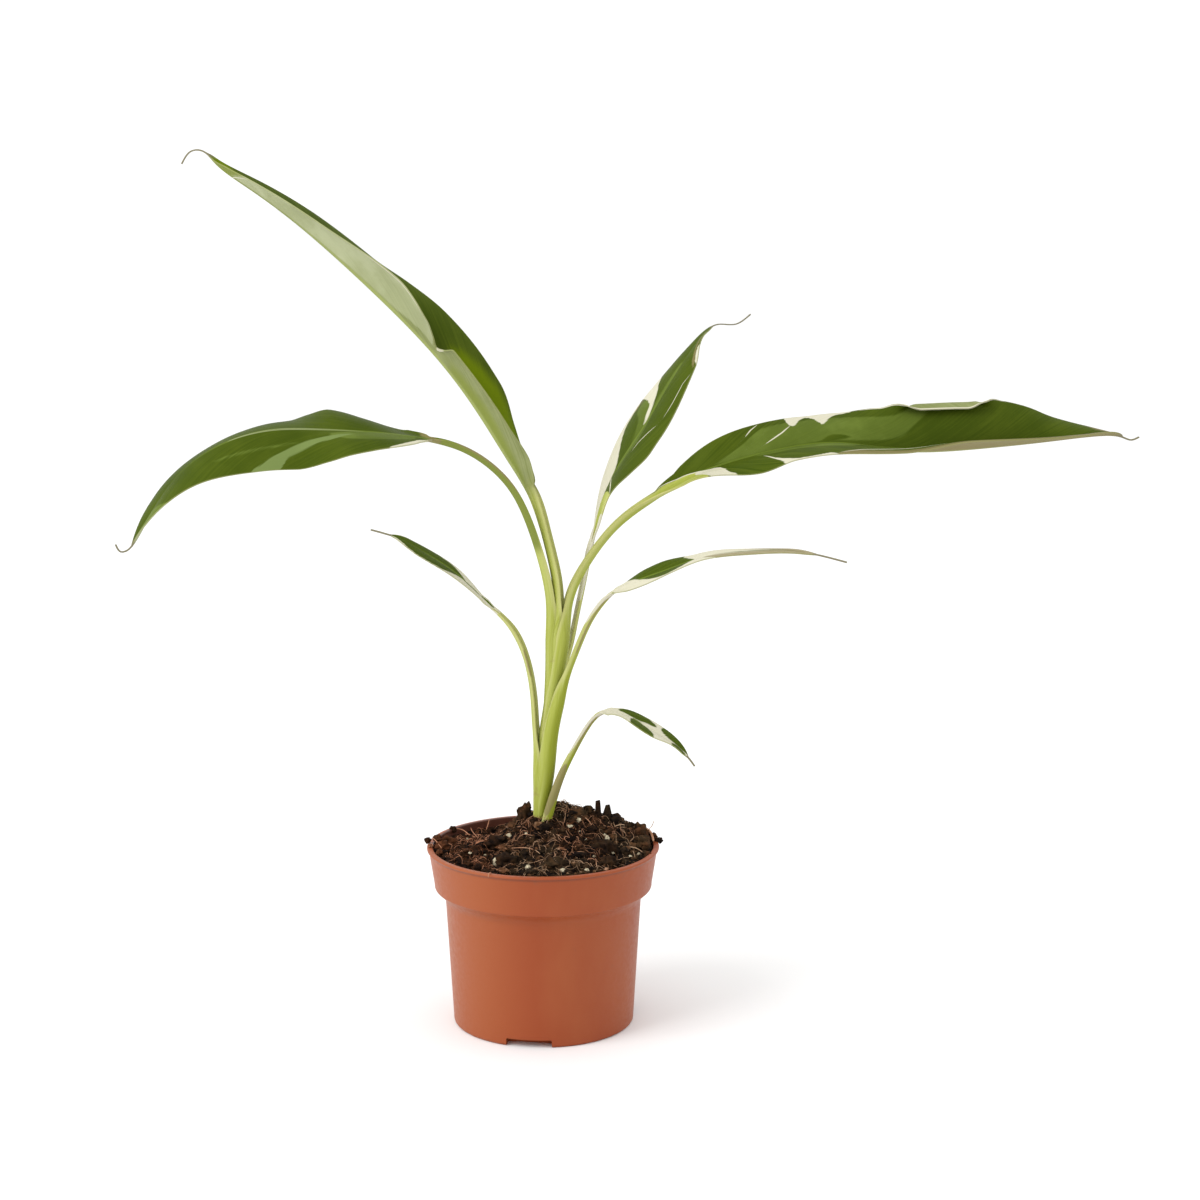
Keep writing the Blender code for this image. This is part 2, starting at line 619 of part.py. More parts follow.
def sheath_mesh(sheath, workshop):
    """Return the closed mesh of one sheath, made from a bevelled curve."""
    path, at_points, length = smooth_curve(sheath.points, SHEATH_RINGS)
    data = bpy.data.curves.new(sheath.name, "CURVE")
    data.dimensions = "3D"
    data.bevel_depth = MM
    data.bevel_resolution = 2
    data.use_fill_caps = True
    spline = data.splines.new("POLY")
    spline.points.add(SHEATH_RINGS - 1)
    for number, place in enumerate(path):
        along = length * number / (SHEATH_RINGS - 1)
        spline.points[number].co = (*(place * MM), 1.0)
        spline.points[number].radius = float(np.interp(along, at_points, sheath.radii))
    curve = add_object(sheath.name, data, workshop)
    mesh = evaluated_mesh(curve, sheath.name)
    bpy.data.objects.remove(curve, do_unlink=True)
    shape = bmesh.new()
    shape.from_mesh(mesh)
    bmesh.ops.remove_doubles(shape, verts=shape.verts, dist=0.00001)
    shape.to_mesh(mesh)
    shape.free()
    return mesh


def make_stem(parts, workshop):
    """Fuse the wrapped sheaths into the false stem."""
    meshes = [sheath_mesh(sheath, workshop) for sheath in SHEATHS]
    stem = add_object("pseudostem", meshes[0], parts)
    return join_by_union(stem, meshes[1:], workshop)


def half_width_at(leaf, station):
    """Return the half width of a leaf at a station: below 0 is petiole, above 1 is thread."""
    if station <= 0.0:
        return leaf.petiole_half_width
    if station >= 1.0:
        return THREAD_HALF_WIDTH
    narrowing = leaf.petiole_half_width * (1.0 - station) + THREAD_HALF_WIDTH * station
    warp = math.log(0.5) / math.log(leaf.peak)
    swell = math.sin(math.pi * station ** warp) ** leaf.fullness
    return narrowing + (leaf.half_width - narrowing) * swell


def cross_section(leaf, station, side, part):
    """Return the sideways and upward offset of a point of the leaf's section.

    side is -1 for the left half and 1 for the right half, and part runs from 0 at the
    midrib to 1 at the margin. Each half is an arc, cupped in the petiole and arched over
    in the blade.
    """
    keys = leaf.right_rise if side > 0 else leaf.left_rise
    entry = 0.05
    if station < entry:
        rise = eased(((-0.08, CHANNEL_RISE), (entry, eased(keys, entry))), station)
    else:
        rise = eased(keys, station)
    cup = eased(((-0.05, PETIOLE_CUP), (0.2, BLADE_CUP)), station)
    start = math.radians(rise + cup)
    sweep = math.radians(-2.0 * cup)
    if abs(sweep) < 0.001:
        sweep = 0.001
    reach = half_width_at(leaf, station) / sweep
    outward = reach * (math.sin(start + sweep * part) - math.sin(start))
    upward = reach * (math.cos(start) - math.cos(start + sweep * part))
    return side * outward, upward


def petiole_depth(leaf):
    """Return how thick a leaf's petiole is under its channel."""
    return leaf.petiole_half_width * PETIOLE_DEPTH_PER_HALF_WIDTH


def keel_share(station, across):
    """Return the share of the petiole's extra thickness at a place: 1 full, 0 none.

    across runs from 0 at the midrib to 1 at a margin. The keel narrows and thins from the
    petiole into the blade.
    """
    height = eased(((-0.1, 1.0), (0.3, 0.6), (0.9, 0.0)), station)
    reach = eased(((-0.05, 1.3), (0.15, 0.4)), station)
    return height * max(0.0, 1.0 - across / reach)


def make_leaf(leaf, parts):
    """Make one leaf: a grid laid along its midrib, folded by formula and solidified."""
    path, at_points, length = smooth_curve(leaf.route, leaf.rings + 1)
    blade_start = at_points[leaf.blade[0]]
    blade_end = at_points[leaf.blade[1]]
    tangents = np.gradient(path, axis=0)
    heading = math.radians(leaf.azimuth)
    sideways = Vector((math.sin(heading), -math.cos(heading), 0.0))
    shape = bmesh.new()
    bmesh.ops.create_grid(shape, x_segments=leaf.columns, y_segments=leaf.rings, size=1.0)
    weights = {}
    for vertex in shape.verts:
        ring = round((vertex.co.y + 1.0) / 2.0 * leaf.rings)
        across = vertex.co.x
        station = (length * ring / leaf.rings - blade_start) / (blade_end - blade_start)
        along = Vector(tangents[ring]).normalized()
        right = (sideways - along * sideways.dot(along)).normalized()
        up = right.cross(along)
        side = 1.0 if across > 0.0 else -1.0
        outward, upward = cross_section(leaf, station, side, abs(across))
        vertex.co = (Vector(path[ring]) + right * outward + up * upward) * MM
        weights[vertex.index] = keel_share(station, abs(across))
    bmesh.ops.triangulate(shape, faces=shape.faces)
    mesh = bpy.data.meshes.new(leaf.name)
    shape.to_mesh(mesh)
    shape.free()
    made = add_object(leaf.name, mesh, parts)
    group = made.vertex_groups.new(name="thickness")
    for index, weight in weights.items():
        group.add([index], weight, "REPLACE")
    thickest = max(petiole_depth(leaf), BLADE_THICKNESS)
    solid = made.modifiers.new("Thickness", "SOLIDIFY")
    solid.thickness = thickest * MM
    solid.offset = 0.0
    solid.vertex_group = group.name
    solid.thickness_vertex_group = BLADE_THICKNESS / thickest
    return made


def dress(made, material):
    """Give an object its material and smooth shading with sharp edges kept."""
    made.data.materials.clear()
    made.data.materials.append(material)
    made.data.shade_smooth()
    made.data.set_sharp_from_angle(angle=math.radians(40.0))


def main():
    """Build the potted plant."""
    clear_scene()
    parts = make_collection("potted_banana_plant")
    cutters = make_collection("cutters")
    workshop = make_collection("workshop")
    materials = {name: make_material(name) for name in COLOURS}
    dress(make_pot(parts, cutters), materials["terracotta_plastic"])
    dress(make_soil(parts, cutters, workshop), materials["potting_soil"])
    dress(make_stem(parts, workshop), materials["sheath_green"])
    for leaf in LEAVES:
        dress(make_leaf(leaf, parts), materials["leaf_green"])
    bpy.data.collections.remove(workshop)


if __name__ == "__main__":
    main()
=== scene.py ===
"""Looks of a young variegated banana plant in a small nursery pot.

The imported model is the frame: every piece made here stands where its solid stands, finer in
form and with a finish of its own. Sizes are in millimetres and become metres as a mesh is made.
Axes: +Z up from the pot's base, +X to the right and +Y away from the camera.
"""
from __future__ import annotations

import logging
import math
from dataclasses import dataclass
from enum import Enum
from random import Random
from typing import Sequence

import bmesh
import bpy
import numpy as np
from mathutils import Matrix, Vector, noise

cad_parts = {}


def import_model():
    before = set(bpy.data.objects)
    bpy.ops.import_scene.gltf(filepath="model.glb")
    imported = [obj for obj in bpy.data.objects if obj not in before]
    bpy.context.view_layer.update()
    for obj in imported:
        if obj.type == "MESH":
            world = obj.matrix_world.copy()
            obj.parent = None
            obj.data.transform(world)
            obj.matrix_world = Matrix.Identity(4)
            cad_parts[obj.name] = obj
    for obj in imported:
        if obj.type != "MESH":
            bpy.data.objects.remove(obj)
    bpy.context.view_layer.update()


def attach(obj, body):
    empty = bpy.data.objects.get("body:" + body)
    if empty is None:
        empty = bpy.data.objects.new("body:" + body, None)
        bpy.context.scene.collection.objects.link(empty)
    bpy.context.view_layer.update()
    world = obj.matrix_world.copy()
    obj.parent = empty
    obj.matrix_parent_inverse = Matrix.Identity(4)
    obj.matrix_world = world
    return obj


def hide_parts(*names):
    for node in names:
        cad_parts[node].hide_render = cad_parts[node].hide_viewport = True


LOG = logging.getLogger("potted_banana")

MM = 0.001
CM_PER_MM = 0.1
BODY = "root"

Keys = tuple[tuple[float, float], ...]
Point = tuple[float, float, float]
Colour = tuple[float, float, float]
Outline = tuple[tuple[float, float], ...]
Socket = bpy.types.NodeSocket


class Slot(Enum):
    """Material slots of the record."""

    POT = "pot_plastic"
    SOIL = "potting_soil"
    STEM = "stem_green"
    LEAF = "leaf_green"


class Side(Enum):
    """The two halves of a leaf, seen from the stem along the leaf."""

    LEFT = -1.0
    RIGHT = 1.0


# Curves

def lerp(low: float, high: float, part: float) -> float:
    """Return the value a part of the way from low to high."""
    return low + (high - low) * part


def smooth_step(low: float, high: float, value: float) -> float:
    """Return 0 below low, 1 above high and a smooth rise between."""
    part = min(1.0, max(0.0, (value - low) / (high - low)))
    return part * part * (3.0 - 2.0 * part)


def eased(keys: Keys, place: float) -> float:
    """Return the value of a keyed curve at a place.

    Args:
        keys: (place, value) pairs in rising order of place.
        place: where to read the curve.

    Returns:
        The value, joined by smooth steps between the keys and level outside them.
    """
    if place <= keys[0][0]:
        return keys[0][1]
    for (start, low), (end, high) in zip(keys, keys[1:]):
        if place <= end:
            return lerp(low, high, smooth_step(start, end, place))
    return keys[-1][1]


def flowing(keys: Keys, place: float) -> float:
    """Return the value of a keyed curve that runs through its keys without steps or swings.

    Args:
        keys: (place, value) pairs in rising order of place.
        place: where to read the curve.

    Returns:
        The value on a cubic whose slope at each key is the harmonic mean of its neighbours',
        level where they turn.
    """
    if place <= keys[0][0]:
        return keys[0][1]
    if place >= keys[-1][0]:
        return keys[-1][1]
    number = next(i for i in range(1, len(keys)) if place <= keys[i][0])
    slopes = [(high - low) / (end - start) for (start, low), (end, high) in zip(keys, keys[1:])]
    leaving = key_slope(slopes, number - 1)
    arriving = key_slope(slopes, number)
    (start, low), (end, high) = keys[number - 1], keys[number]
    span = end - start
    part = (place - start) / span
    rest = 1.0 - part
    value = low * (1.0 + 2.0 * part) * rest * rest + high * (3.0 - 2.0 * part) * part * part
    return value + span * part * rest * (leaving * rest - arriving * part)


def key_slope(slopes: Sequence[float], number: int) -> float:
    """Find the slope of a flowing curve at a key.

    Args:
        slopes: the straight slopes between the keys.
        number: the key's number.

    Returns:
        The slope, level at the ends and where the curve turns.
    """
    if number == 0 or number == len(slopes):
        return 0.0
    before, after = slopes[number - 1], slopes[number]
    if before * after <= 0.0:
        return 0.0
    return 2.0 * before * after / (before + after)


@dataclass(frozen=True)
class SmoothLine:
    """A natural cubic curve through given points, read at even steps of its length.

    Attributes:
        places: the curve's points, evenly spaced.
        lengths: the arc length at each of those points.
        marks: the arc length at each given point.
    """

    places: np.ndarray
    lengths: np.ndarray
    marks: np.ndarray

    steps_per_point = 60
    fewest_steps = 8

    @staticmethod
    def through(points: Sequence[Sequence[float]], spacing: float) -> SmoothLine:
        """Lay the curve.

        Args:
            points: the points that the curve passes, of three or more numbers each; the numbers
                after the third are carried along the curve too.
            spacing: the distance between the points that are read from it.

        Returns:
            The curve.
        """
        given = np.array(points, float)
        count = len(given)
        hops = np.linalg.norm(np.diff(given[:, :3], axis=0), axis=1)
        knots = np.r_[0.0, np.cumsum(np.sqrt(hops))]
        step = np.diff(knots)
        matrix = np.eye(count)
        right = np.zeros_like(given)
        for i in range(1, count - 1):
            matrix[i, i - 1:i + 2] = (step[i - 1], 2.0 * (step[i - 1] + step[i]), step[i])
            slope_out = (given[i + 1] - given[i]) / step[i]
            slope_in = (given[i] - given[i - 1]) / step[i - 1]
            right[i] = 6.0 * (slope_out - slope_in)
        bend = np.linalg.solve(matrix, right)
        fine = np.linspace(0.0, knots[-1], SmoothLine.steps_per_point * count)
        place = np.clip(np.searchsorted(knots, fine, side="right") - 1, 0, count - 2)
        ahead = (fine - knots[place])[:, None]
        span = step[place][:, None]
        slope = (given[place + 1] - given[place]) / span
        slope = slope - span * (2.0 * bend[place] + bend[place + 1]) / 6.0
        curve = given[place] + ahead * slope + ahead ** 2 * bend[place] / 2.0
        curve = curve + ahead ** 3 * (bend[place + 1] - bend[place]) / (6.0 * span)
        hop = np.linalg.norm(np.diff(curve[:, :3], axis=0), axis=1)
        length = np.r_[0.0, np.cumsum(hop)]
        marks = np.interp(knots, fine, length)
        steps = max(SmoothLine.fewest_steps, round(length[-1] / spacing))
        wanted = np.linspace(0.0, length[-1], steps + 1)
        columns = [np.interp(wanted, length, curve[:, axis]) for axis in range(given.shape[1])]
        return SmoothLine(np.stack(columns, axis=1), wanted, marks)


# Materials and meshes

class Sketch:
    """A node material under construction."""

    noise_roughness = 0.55

    def __init__(self, name: str) -> None:
        """Start an empty material with a Principled shader.

        Args:
            name: the material's name.
        """
        self.material = bpy.data.materials.new(name)
        self.material.use_nodes = True
        self.tree = self.material.node_tree
        self.shader = self.tree.nodes["Principled BSDF"]

    def add(self, kind: str, inputs: dict[str, object] | None = None,
            **settings: object) -> bpy.types.Node:
        """Add a node.

        Args:
            kind: the node's Blender type.
            inputs: what its input sockets get, by name.
            settings: its properties by name.

        Returns:
            The node.
        """
        node = self.tree.nodes.new(kind)
        for name, value in settings.items():
            setattr(node, name, value)
        for name, value in (inputs or {}).items():
            self.feed(node.inputs[name], value)
        return node

    def feed(self, socket: Socket, value: object) -> None:
        """Give an input socket its value.

        Args:
            socket: the input socket.
            value: an output socket to join to it, a number or a colour.
        """
        if isinstance(value, Socket):
            self.tree.links.new(value, socket)
        elif socket.type == "RGBA":
            socket.default_value = (*value, 1.0)
        else:
            socket.default_value = value

    def object_place(self) -> Socket:
        """Return the Object coordinate."""
        return self.add("ShaderNodeTexCoord").outputs["Object"]

    def surface_place(self, layer: str) -> Socket:
        """Return the coordinate of a UV layer."""
        return self.add("ShaderNodeUVMap", uv_map=layer).outputs["UV"]

    def attribute(self, name: str) -> Socket:
        """Return the value of a number attribute."""
        return self.add("ShaderNodeAttribute", attribute_name=name).outputs["Fac"]

    def axis(self, place: Socket, name: str) -> Socket:
        """Return the X, Y or Z of a coordinate."""
        return self.add("ShaderNodeSeparateXYZ", {"Vector": place}).outputs[name]

    def stretch(self, place: Socket, scale: Point) -> Socket:
        """Return a coordinate multiplied by a scale along each axis."""
        return self.add("ShaderNodeMapping", {"Vector": place, "Scale": scale}).outputs["Vector"]

    def grain(self, place: Socket, scale: float, detail: float = 3.0) -> Socket:
        """Make cloudy noise.

        Args:
            place: the coordinate that it fills.
            scale: how fine it is.
            detail: how many finer layers it has.

        Returns:
            The noise, from 0 to 1.
        """
        inputs = {"Vector": place, "Scale": scale, "Detail": detail,
                  "Roughness": self.noise_roughness}
        return self.add("ShaderNodeTexNoise", inputs).outputs["Fac"]

    def combine(self, operation: str, *values: object) -> Socket:
        """Work out a Math node.

        Args:
            operation: the node's operation.
            values: its one or two inputs, sockets or numbers.

        Returns:
            The result.
        """
        node = self.add("ShaderNodeMath", operation=operation)
        for socket, value in zip(node.inputs, values):
            self.feed(socket, value)
        return node.outputs["Value"]

    def plus(self, first: object, second: object) -> Socket:
        """Return a sum."""
        return self.combine("ADD", first, second)

    def times(self, first: object, second: object) -> Socket:
        """Return a product."""
        return self.combine("MULTIPLY", first, second)

    def higher(self, first: object, second: object) -> Socket:
        """Return the higher of two values."""
        return self.combine("MAXIMUM", first, second)

    def outside(self, mask: object) -> Socket:
        """Return the opposite of a mask."""
        return self.combine("SUBTRACT", 1.0, mask)

    def blend(self, first: object, second: object, share: float) -> Socket:
        """Return two values mixed, the second with what the first's share leaves."""
        return self.plus(self.times(first, share), self.times(second, 1.0 - share))

    def spread(self, value: Socket, low: float, high: float, to_low: float = 0.0,
               to_high: float = 1.0) -> Socket:
        """Map a value smoothly from one range to another, level outside it.

        Args:
            value: the value.
            low: the start of its range.
            high: the end of its range.
            to_low: the result at the start.
            to_high: the result at the end.

        Returns:
            The result.
        """
        inputs = {"Value": value, "From Min": low, "From Max": high, "To Min": to_low,
                  "To Max": to_high}
        return self.add("ShaderNodeMapRange", inputs,
                        interpolation_type="SMOOTHSTEP").outputs["Result"]

    def mix(self, factor: object, first: object, second: object, blend: str = "MIX") -> Socket:
        """Mix two colours.

        Args:
            factor: the share of the second colour.
            first: the first colour.
            second: the second colour.
            blend: how the second colour goes over the first.

        Returns:
            The mixed colour.
        """
        node = self.add("ShaderNodeMix", {"Factor": factor, "A": first, "B": second},
                        data_type="RGBA", blend_type=blend)
        return next(socket for socket in node.outputs if socket.type == "RGBA")

    def ramp(self, value: Socket, stops: Sequence[tuple[float, Colour]]) -> Socket:
        """Read a colour from a ramp.

        Args:
            value: where to read it.
            stops: the ramp's places and colours.

        Returns:
            The colour.
        """
        node = self.add("ShaderNodeValToRGB", {"Fac": value})
        elements = node.color_ramp.elements
        while len(elements) < len(stops):
            elements.new(0.5)
        for element, (place, colour) in zip(elements, stops):
            element.position = place
            element.color = (*colour, 1.0)
        return node.outputs["Color"]

    def bump(self, height: Socket, depth_mm: float, strength: float) -> None:
        """Raise the shader's surface by a height from 0 to 1.

        Args:
            height: the height.
            depth_mm: the height of 1 in millimetres.
            strength: how strongly the bump shows.
        """
        inputs = {"Height": height, "Distance": depth_mm * MM, "Strength": strength}
        node = self.add("ShaderNodeBump", inputs)
        self.feed(self.shader.inputs["Normal"], node.outputs["Normal"])

    def finish(self, colour: object, roughness: object, specular: float) -> bpy.types.Material:
        """Join the surface's values to the shader.

        Args:
            colour: the base colour.
            roughness: the roughness.
            specular: the specular level.

        Returns:
            The finished material.
        """
        self.feed(self.shader.inputs["Base Color"], colour)
        self.feed(self.shader.inputs["Roughness"], roughness)
        self.feed(self.shader.inputs["Specular IOR Level"], specular)
        return self.material


def new_object(name: str, mesh: bpy.types.Mesh) -> bpy.types.Object:
    """Link a mesh to the scene.

    Args:
        name: the new object's name.
        mesh: its mesh.

    Returns:
        The object.
    """
    made = bpy.data.objects.new(name, mesh)
    bpy.context.scene.collection.objects.link(made)
    return made


def mesh_of(shape: bmesh.types.BMesh, name: str) -> bpy.types.Mesh:
    """Turn a bmesh into a mesh and free it.

    Args:
        shape: the bmesh.
        name: the mesh's name.

    Returns:
        The mesh.
    """
    mesh = bpy.data.meshes.new(name)
    shape.to_mesh(mesh)
    shape.free()
    return mesh


def apply_modifiers(made: bpy.types.Object) -> None:
    """Replace an object's mesh by what its modifiers make of it.

    Args:
        made: the object.
    """
    bpy.context.view_layer.update()
    seen = made.evaluated_get(bpy.context.evaluated_depsgraph_get())
    mesh = bpy.data.meshes.new_from_object(seen)
    mesh.name = made.name
    made.modifiers.clear()
    made.data = mesh


def put_on(made: bpy.types.Object, slot: Slot, *nodes: str) -> bpy.types.Object:
    """Give a piece its body and report it.

    Args:
        made: the piece.
        slot: its material slot in the record; not used.
        nodes: the solids that it stands for.

    Returns:
        The piece.
    """
    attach(made, BODY)
    if nodes:
        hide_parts(*nodes)
    LOG.info("%s: %d faces", made.name, len(made.data.polygons))
    return made


# Pot

@dataclass(frozen=True)
class PotPlastic:
    """Terracotta-coloured moulded plastic, with fade patches, painted light on the left side,
    soil dust and painted shade inside the rim and a painted shadow beneath the lip.

    Attributes:
        body: its colour.
        faded_and_lit: the colour of its fade patches and of the painted light on its left side.
        dust: the colour of its smudges.
        grime_and_shade: the colour of soil dust and painted shade inside the rim, and of the
            painted shadow beneath the lip.
        wall_lean: how far the rim's wall leans outwards for its height.
        wall_line: the radius of that wall's middle, less its lean.
        wall_foot: the height below which the wall's inside is neither dusted nor shaded.
        lip_line: the height of the lip's underside.
        roughness: its roughness.
    """

    body: Colour = (0.275, 0.050, 0.010)
    faded_and_lit: Colour = (0.335, 0.088, 0.025)
    dust: Colour = (0.15, 0.06, 0.03)
    grime_and_shade: Colour = (0.095, 0.030, 0.017)
    wall_lean: float = 0.18
    wall_line: float = 20.6 * MM
    wall_foot: float = 38.0 * MM
    lip_line: float = 45.9 * MM
    roughness: float = 0.42

    def dust_and_shade_inside(self, sketch: Sketch, place: Socket, fine: Socket) -> Socket:
        """Find the inside of the rim's wall, darkened by soil dust and painted shade.

        Args:
            sketch: the material.
            place: the Object coordinate.
            fine: the grain that frays the edge of the dust and shade.

        Returns:
            The mask, 1 on the inside.
        """
        flat = sketch.stretch(place, (1.0, 1.0, 0.0))
        reach = sketch.add("ShaderNodeVectorMath", {"Vector": flat}, operation="LENGTH")
        height = sketch.axis(place, "Z")
        ragged = sketch.times(fine, 0.6 * MM)
        behind = sketch.spread(sketch.axis(place, "Y"), 2.0 * MM, 14.0 * MM, 0.0, -0.5 * MM)
        upright = sketch.plus(reach.outputs["Value"], sketch.times(height, -self.wall_lean))
        radius = sketch.plus(sketch.plus(upright, ragged), behind)
        return sketch.times(
            sketch.spread(radius, self.wall_line - 0.2 * MM, self.wall_line, 1.0, 0.0),
            sketch.spread(height, self.wall_foot, self.wall_foot + 1.0 * MM))

    def shadow_beneath_lip(self, sketch: Sketch, height: Socket) -> Socket:
        """Find the thin line of painted shadow beneath the lip.

        Args:
            sketch: the material.
            height: the height of the place.

        Returns:
            The mask, 1 on the line.
        """
        line = self.lip_line
        return sketch.times(sketch.spread(height, line - 0.7 * MM, line),
                            sketch.spread(height, line, line + 0.3 * MM, 0.5, 0.0))

    def build(self) -> bpy.types.Material:
        """Mix the material.

        Returns:
            The material.
        """
        sketch = Sketch("terracotta_plastic")
        place = sketch.object_place()
        cloud = sketch.grain(sketch.stretch(place, (1.0, 1.0, 0.35)), 60.0)
        # Painted light: the left side, where the key light falls, mixes towards the paler colour.
        aside = sketch.spread(sketch.axis(place, "X"), -20.0 * MM, 2.0 * MM, 0.75, 0.0)
        faded_and_lit = sketch.higher(aside, sketch.spread(cloud, 0.35, 0.8, 0.0, 0.6))
        colour = sketch.mix(faded_and_lit, self.body, self.faded_and_lit)
        fine = sketch.grain(place, 900.0, 2.0)
        smudge = sketch.spread(sketch.grain(place, 210.0, 4.0), 0.66, 0.8, 0.0, 0.35)
        colour = sketch.mix(smudge, colour, self.dust)
        # Soil dust and painted shade darken the inside of the rim's wall.
        colour = sketch.mix(self.dust_and_shade_inside(sketch, place, fine), colour, self.grime_and_shade)
        # Painted shadow: a thin dark line beneath the lip.
        under = self.shadow_beneath_lip(sketch, sketch.axis(place, "Z"))
        colour = sketch.mix(under, colour, self.grime_and_shade)
        gloss = sketch.spread(fine, 0.2, 0.8, self.roughness - 0.05, self.roughness + 0.08)
        sketch.bump(fine, 0.03, 0.35)
        return sketch.finish(colour, gloss, specular=0.3)


@dataclass(frozen=True)
class Pot:
    """The nursery pot: a thin turned shell on a thick base with three drain notches.

    Its wall steps out to a band, and its lip curls out over a groove. Lengths are in
    millimetres and angles in degrees.
    """

    height: float = 46.7
    base_radius: float = 23.4
    body_top_radius: float = 25.3
    body_top_z: float = 33.4
    band_radius: float = 27.9
    band_bottom_z: float = 35.6
    rim_radius: float = 29.4
    lip_radius: float = 30.0
    lip_height: float = 0.9
    wall: float = 1.0
    floor: float = 3.2
    edge_round: float = 0.8
    steps: int = 144
    notch_width: float = 11.8
    notch_height: float = 2.1
    notch_depth: float = 4.4
    notch_azimuths: tuple[float, ...] = (261.6, 21.0, 141.0)
    drain_radius: float = 1.4
    drain_centre_radius: float = 21.4
    drain_sides: int = 32
    notch_round: float = 0.35
    corner_steps: int = 4
    lip_inner_round: float = 0.3
    lip_outer_round: float = 0.35
    lip_groove: float = 0.1
    band_round: float = 0.75
    crease_angle: float = 38.0

    def profile(self) -> list[tuple[float, float]]:
        """Draw the wall's outline.

        Returns:
            Its (radius, height) points from the inside floor round the lip to the base.
        """
        edge = self.edge_round
        inner_base = self.base_radius - self.wall
        inner_body = self.body_top_radius - self.wall
        inner_rim = self.rim_radius - self.wall
        points = [(0.0, self.floor), (inner_base - edge, self.floor)]
        points += self.corner(inner_base - edge, self.floor + edge, edge, -90.0, 0.0)
        points += [
            (inner_body, self.body_top_z + self.wall),
            (inner_body + edge, self.band_bottom_z + self.wall),
            (self.band_radius - self.wall, self.band_bottom_z + 2.0 * self.wall),
            (inner_rim, self.height - self.lip_height),
        ]
        # The small offsets from here down soften the steps of the outer wall.
        inner, outer, groove = self.lip_inner_round, self.lip_outer_round, self.lip_groove
        points += self.corner(inner_rim + inner, self.height - inner, inner, 180.0, 90.0)
        points += self.corner(self.lip_radius - outer, self.height - outer, outer, 90.0, -60.0)
        points += [
            (self.rim_radius + groove, self.height - self.lip_height - groove),
            (self.rim_radius, self.height - self.lip_height - 0.5),
            (self.band_radius + 0.25, self.band_bottom_z + 1.6),
        ]
        points += self.corner(self.band_radius - 0.55, self.band_bottom_z + 0.9,
                              self.band_round, 0.0, -60.0)
        points += [
            (self.body_top_radius + edge + 0.25, self.body_top_z + edge + 0.35),
            (self.body_top_radius + 0.3, self.body_top_z + 0.25),
            (self.body_top_radius - 0.02, self.body_top_z - 0.8),
            (self.base_radius + 0.03, edge + 0.4),
        ]
        points += self.corner(self.base_radius - edge, edge, edge, 0.0, -90.0)
        points.append((0.0, 0.0))
        return points

    def corner(self, radius: float, height: float, bend: float, start: float,
               end: float) -> list[tuple[float, float]]:
        """Return a rounded corner's points.

        Args:
            radius: the bend centre's distance from the axis.
            height: the bend centre's height.
            bend: the radius of the bend.
            start: the first angle in degrees, 0 pointing outwards.
            end: the last angle.

        Returns:
            The corner's (radius, height) points.
        """
        steps = self.corner_steps
        angles = [math.radians(lerp(start, end, step / steps)) for step in range(steps + 1)]
        return [(radius + bend * math.cos(a), height + bend * math.sin(a)) for a in angles]

    def shell(self) -> bpy.types.Object:
        """Spin the profile into the closed wall and floor.

        Returns:
            The pot without its notches and holes.
        """
        shape = bmesh.new()
        ring = [shape.verts.new((radius * MM, 0.0, height * MM))
                for radius, height in self.profile()]
        edges = [shape.edges.new(pair) for pair in zip(ring, ring[1:])]
        bmesh.ops.spin(shape, geom=ring + edges, cent=(0.0, 0.0, 0.0), axis=(0.0, 0.0, 1.0),
                       angle=2.0 * math.pi, steps=self.steps, use_merge=True)
        bmesh.ops.remove_doubles(shape, verts=shape.verts, dist=0.01 * MM)
        bmesh.ops.recalc_face_normals(shape, faces=shape.faces)
        return new_object("pot_shell", mesh_of(shape, "pot_shell"))

    def notch_block(self) -> bmesh.types.BMesh:
        """Make the rounded block that cuts a notch at the front of the axis.

        Returns:
            The block.
        """
        block = bmesh.new()
        bmesh.ops.create_cube(block, size=1.0)
        size = Vector((2.0 * self.notch_depth, self.notch_width, 2.0 * self.notch_height))
        bmesh.ops.scale(block, vec=size * MM, verts=block.verts)
        bmesh.ops.bevel(block, geom=block.edges, offset=self.notch_round * MM,
                        offset_type="OFFSET", segments=2, profile=0.5, affect="EDGES",
                        material=-1)
        bmesh.ops.translate(block, vec=(self.base_radius * MM, 0.0, 0.0), verts=block.verts)
        return block

    def drain_drill(self) -> bmesh.types.BMesh:
        """Make the drill that cuts a drain hole above that notch.

        Returns:
            The drill.
        """
        drill = bmesh.new()
        radius = self.drain_radius * MM
        bmesh.ops.create_cone(drill, cap_ends=True, segments=self.drain_sides, radius1=radius,
                              radius2=radius, depth=4.0 * self.floor * MM)
        centre = (self.drain_centre_radius * MM, 0.0, 0.0)
        bmesh.ops.translate(drill, vec=centre, verts=drill.verts)
        return drill

    def cutters(self) -> list[bpy.types.Object]:
        """Place a notch block and a drain drill at each notch.

        Returns:
            The blocks and drills.
        """
        made = []
        for number, azimuth in enumerate(self.notch_azimuths):
            turn = Matrix.Rotation(math.radians(azimuth), 4, "Z")
            for name, shape in (("notch", self.notch_block()), ("drain", self.drain_drill())):
                bmesh.ops.transform(shape, matrix=turn, verts=shape.verts)
                made.append(new_object(f"{name}_{number}", mesh_of(shape, name)))
        return made

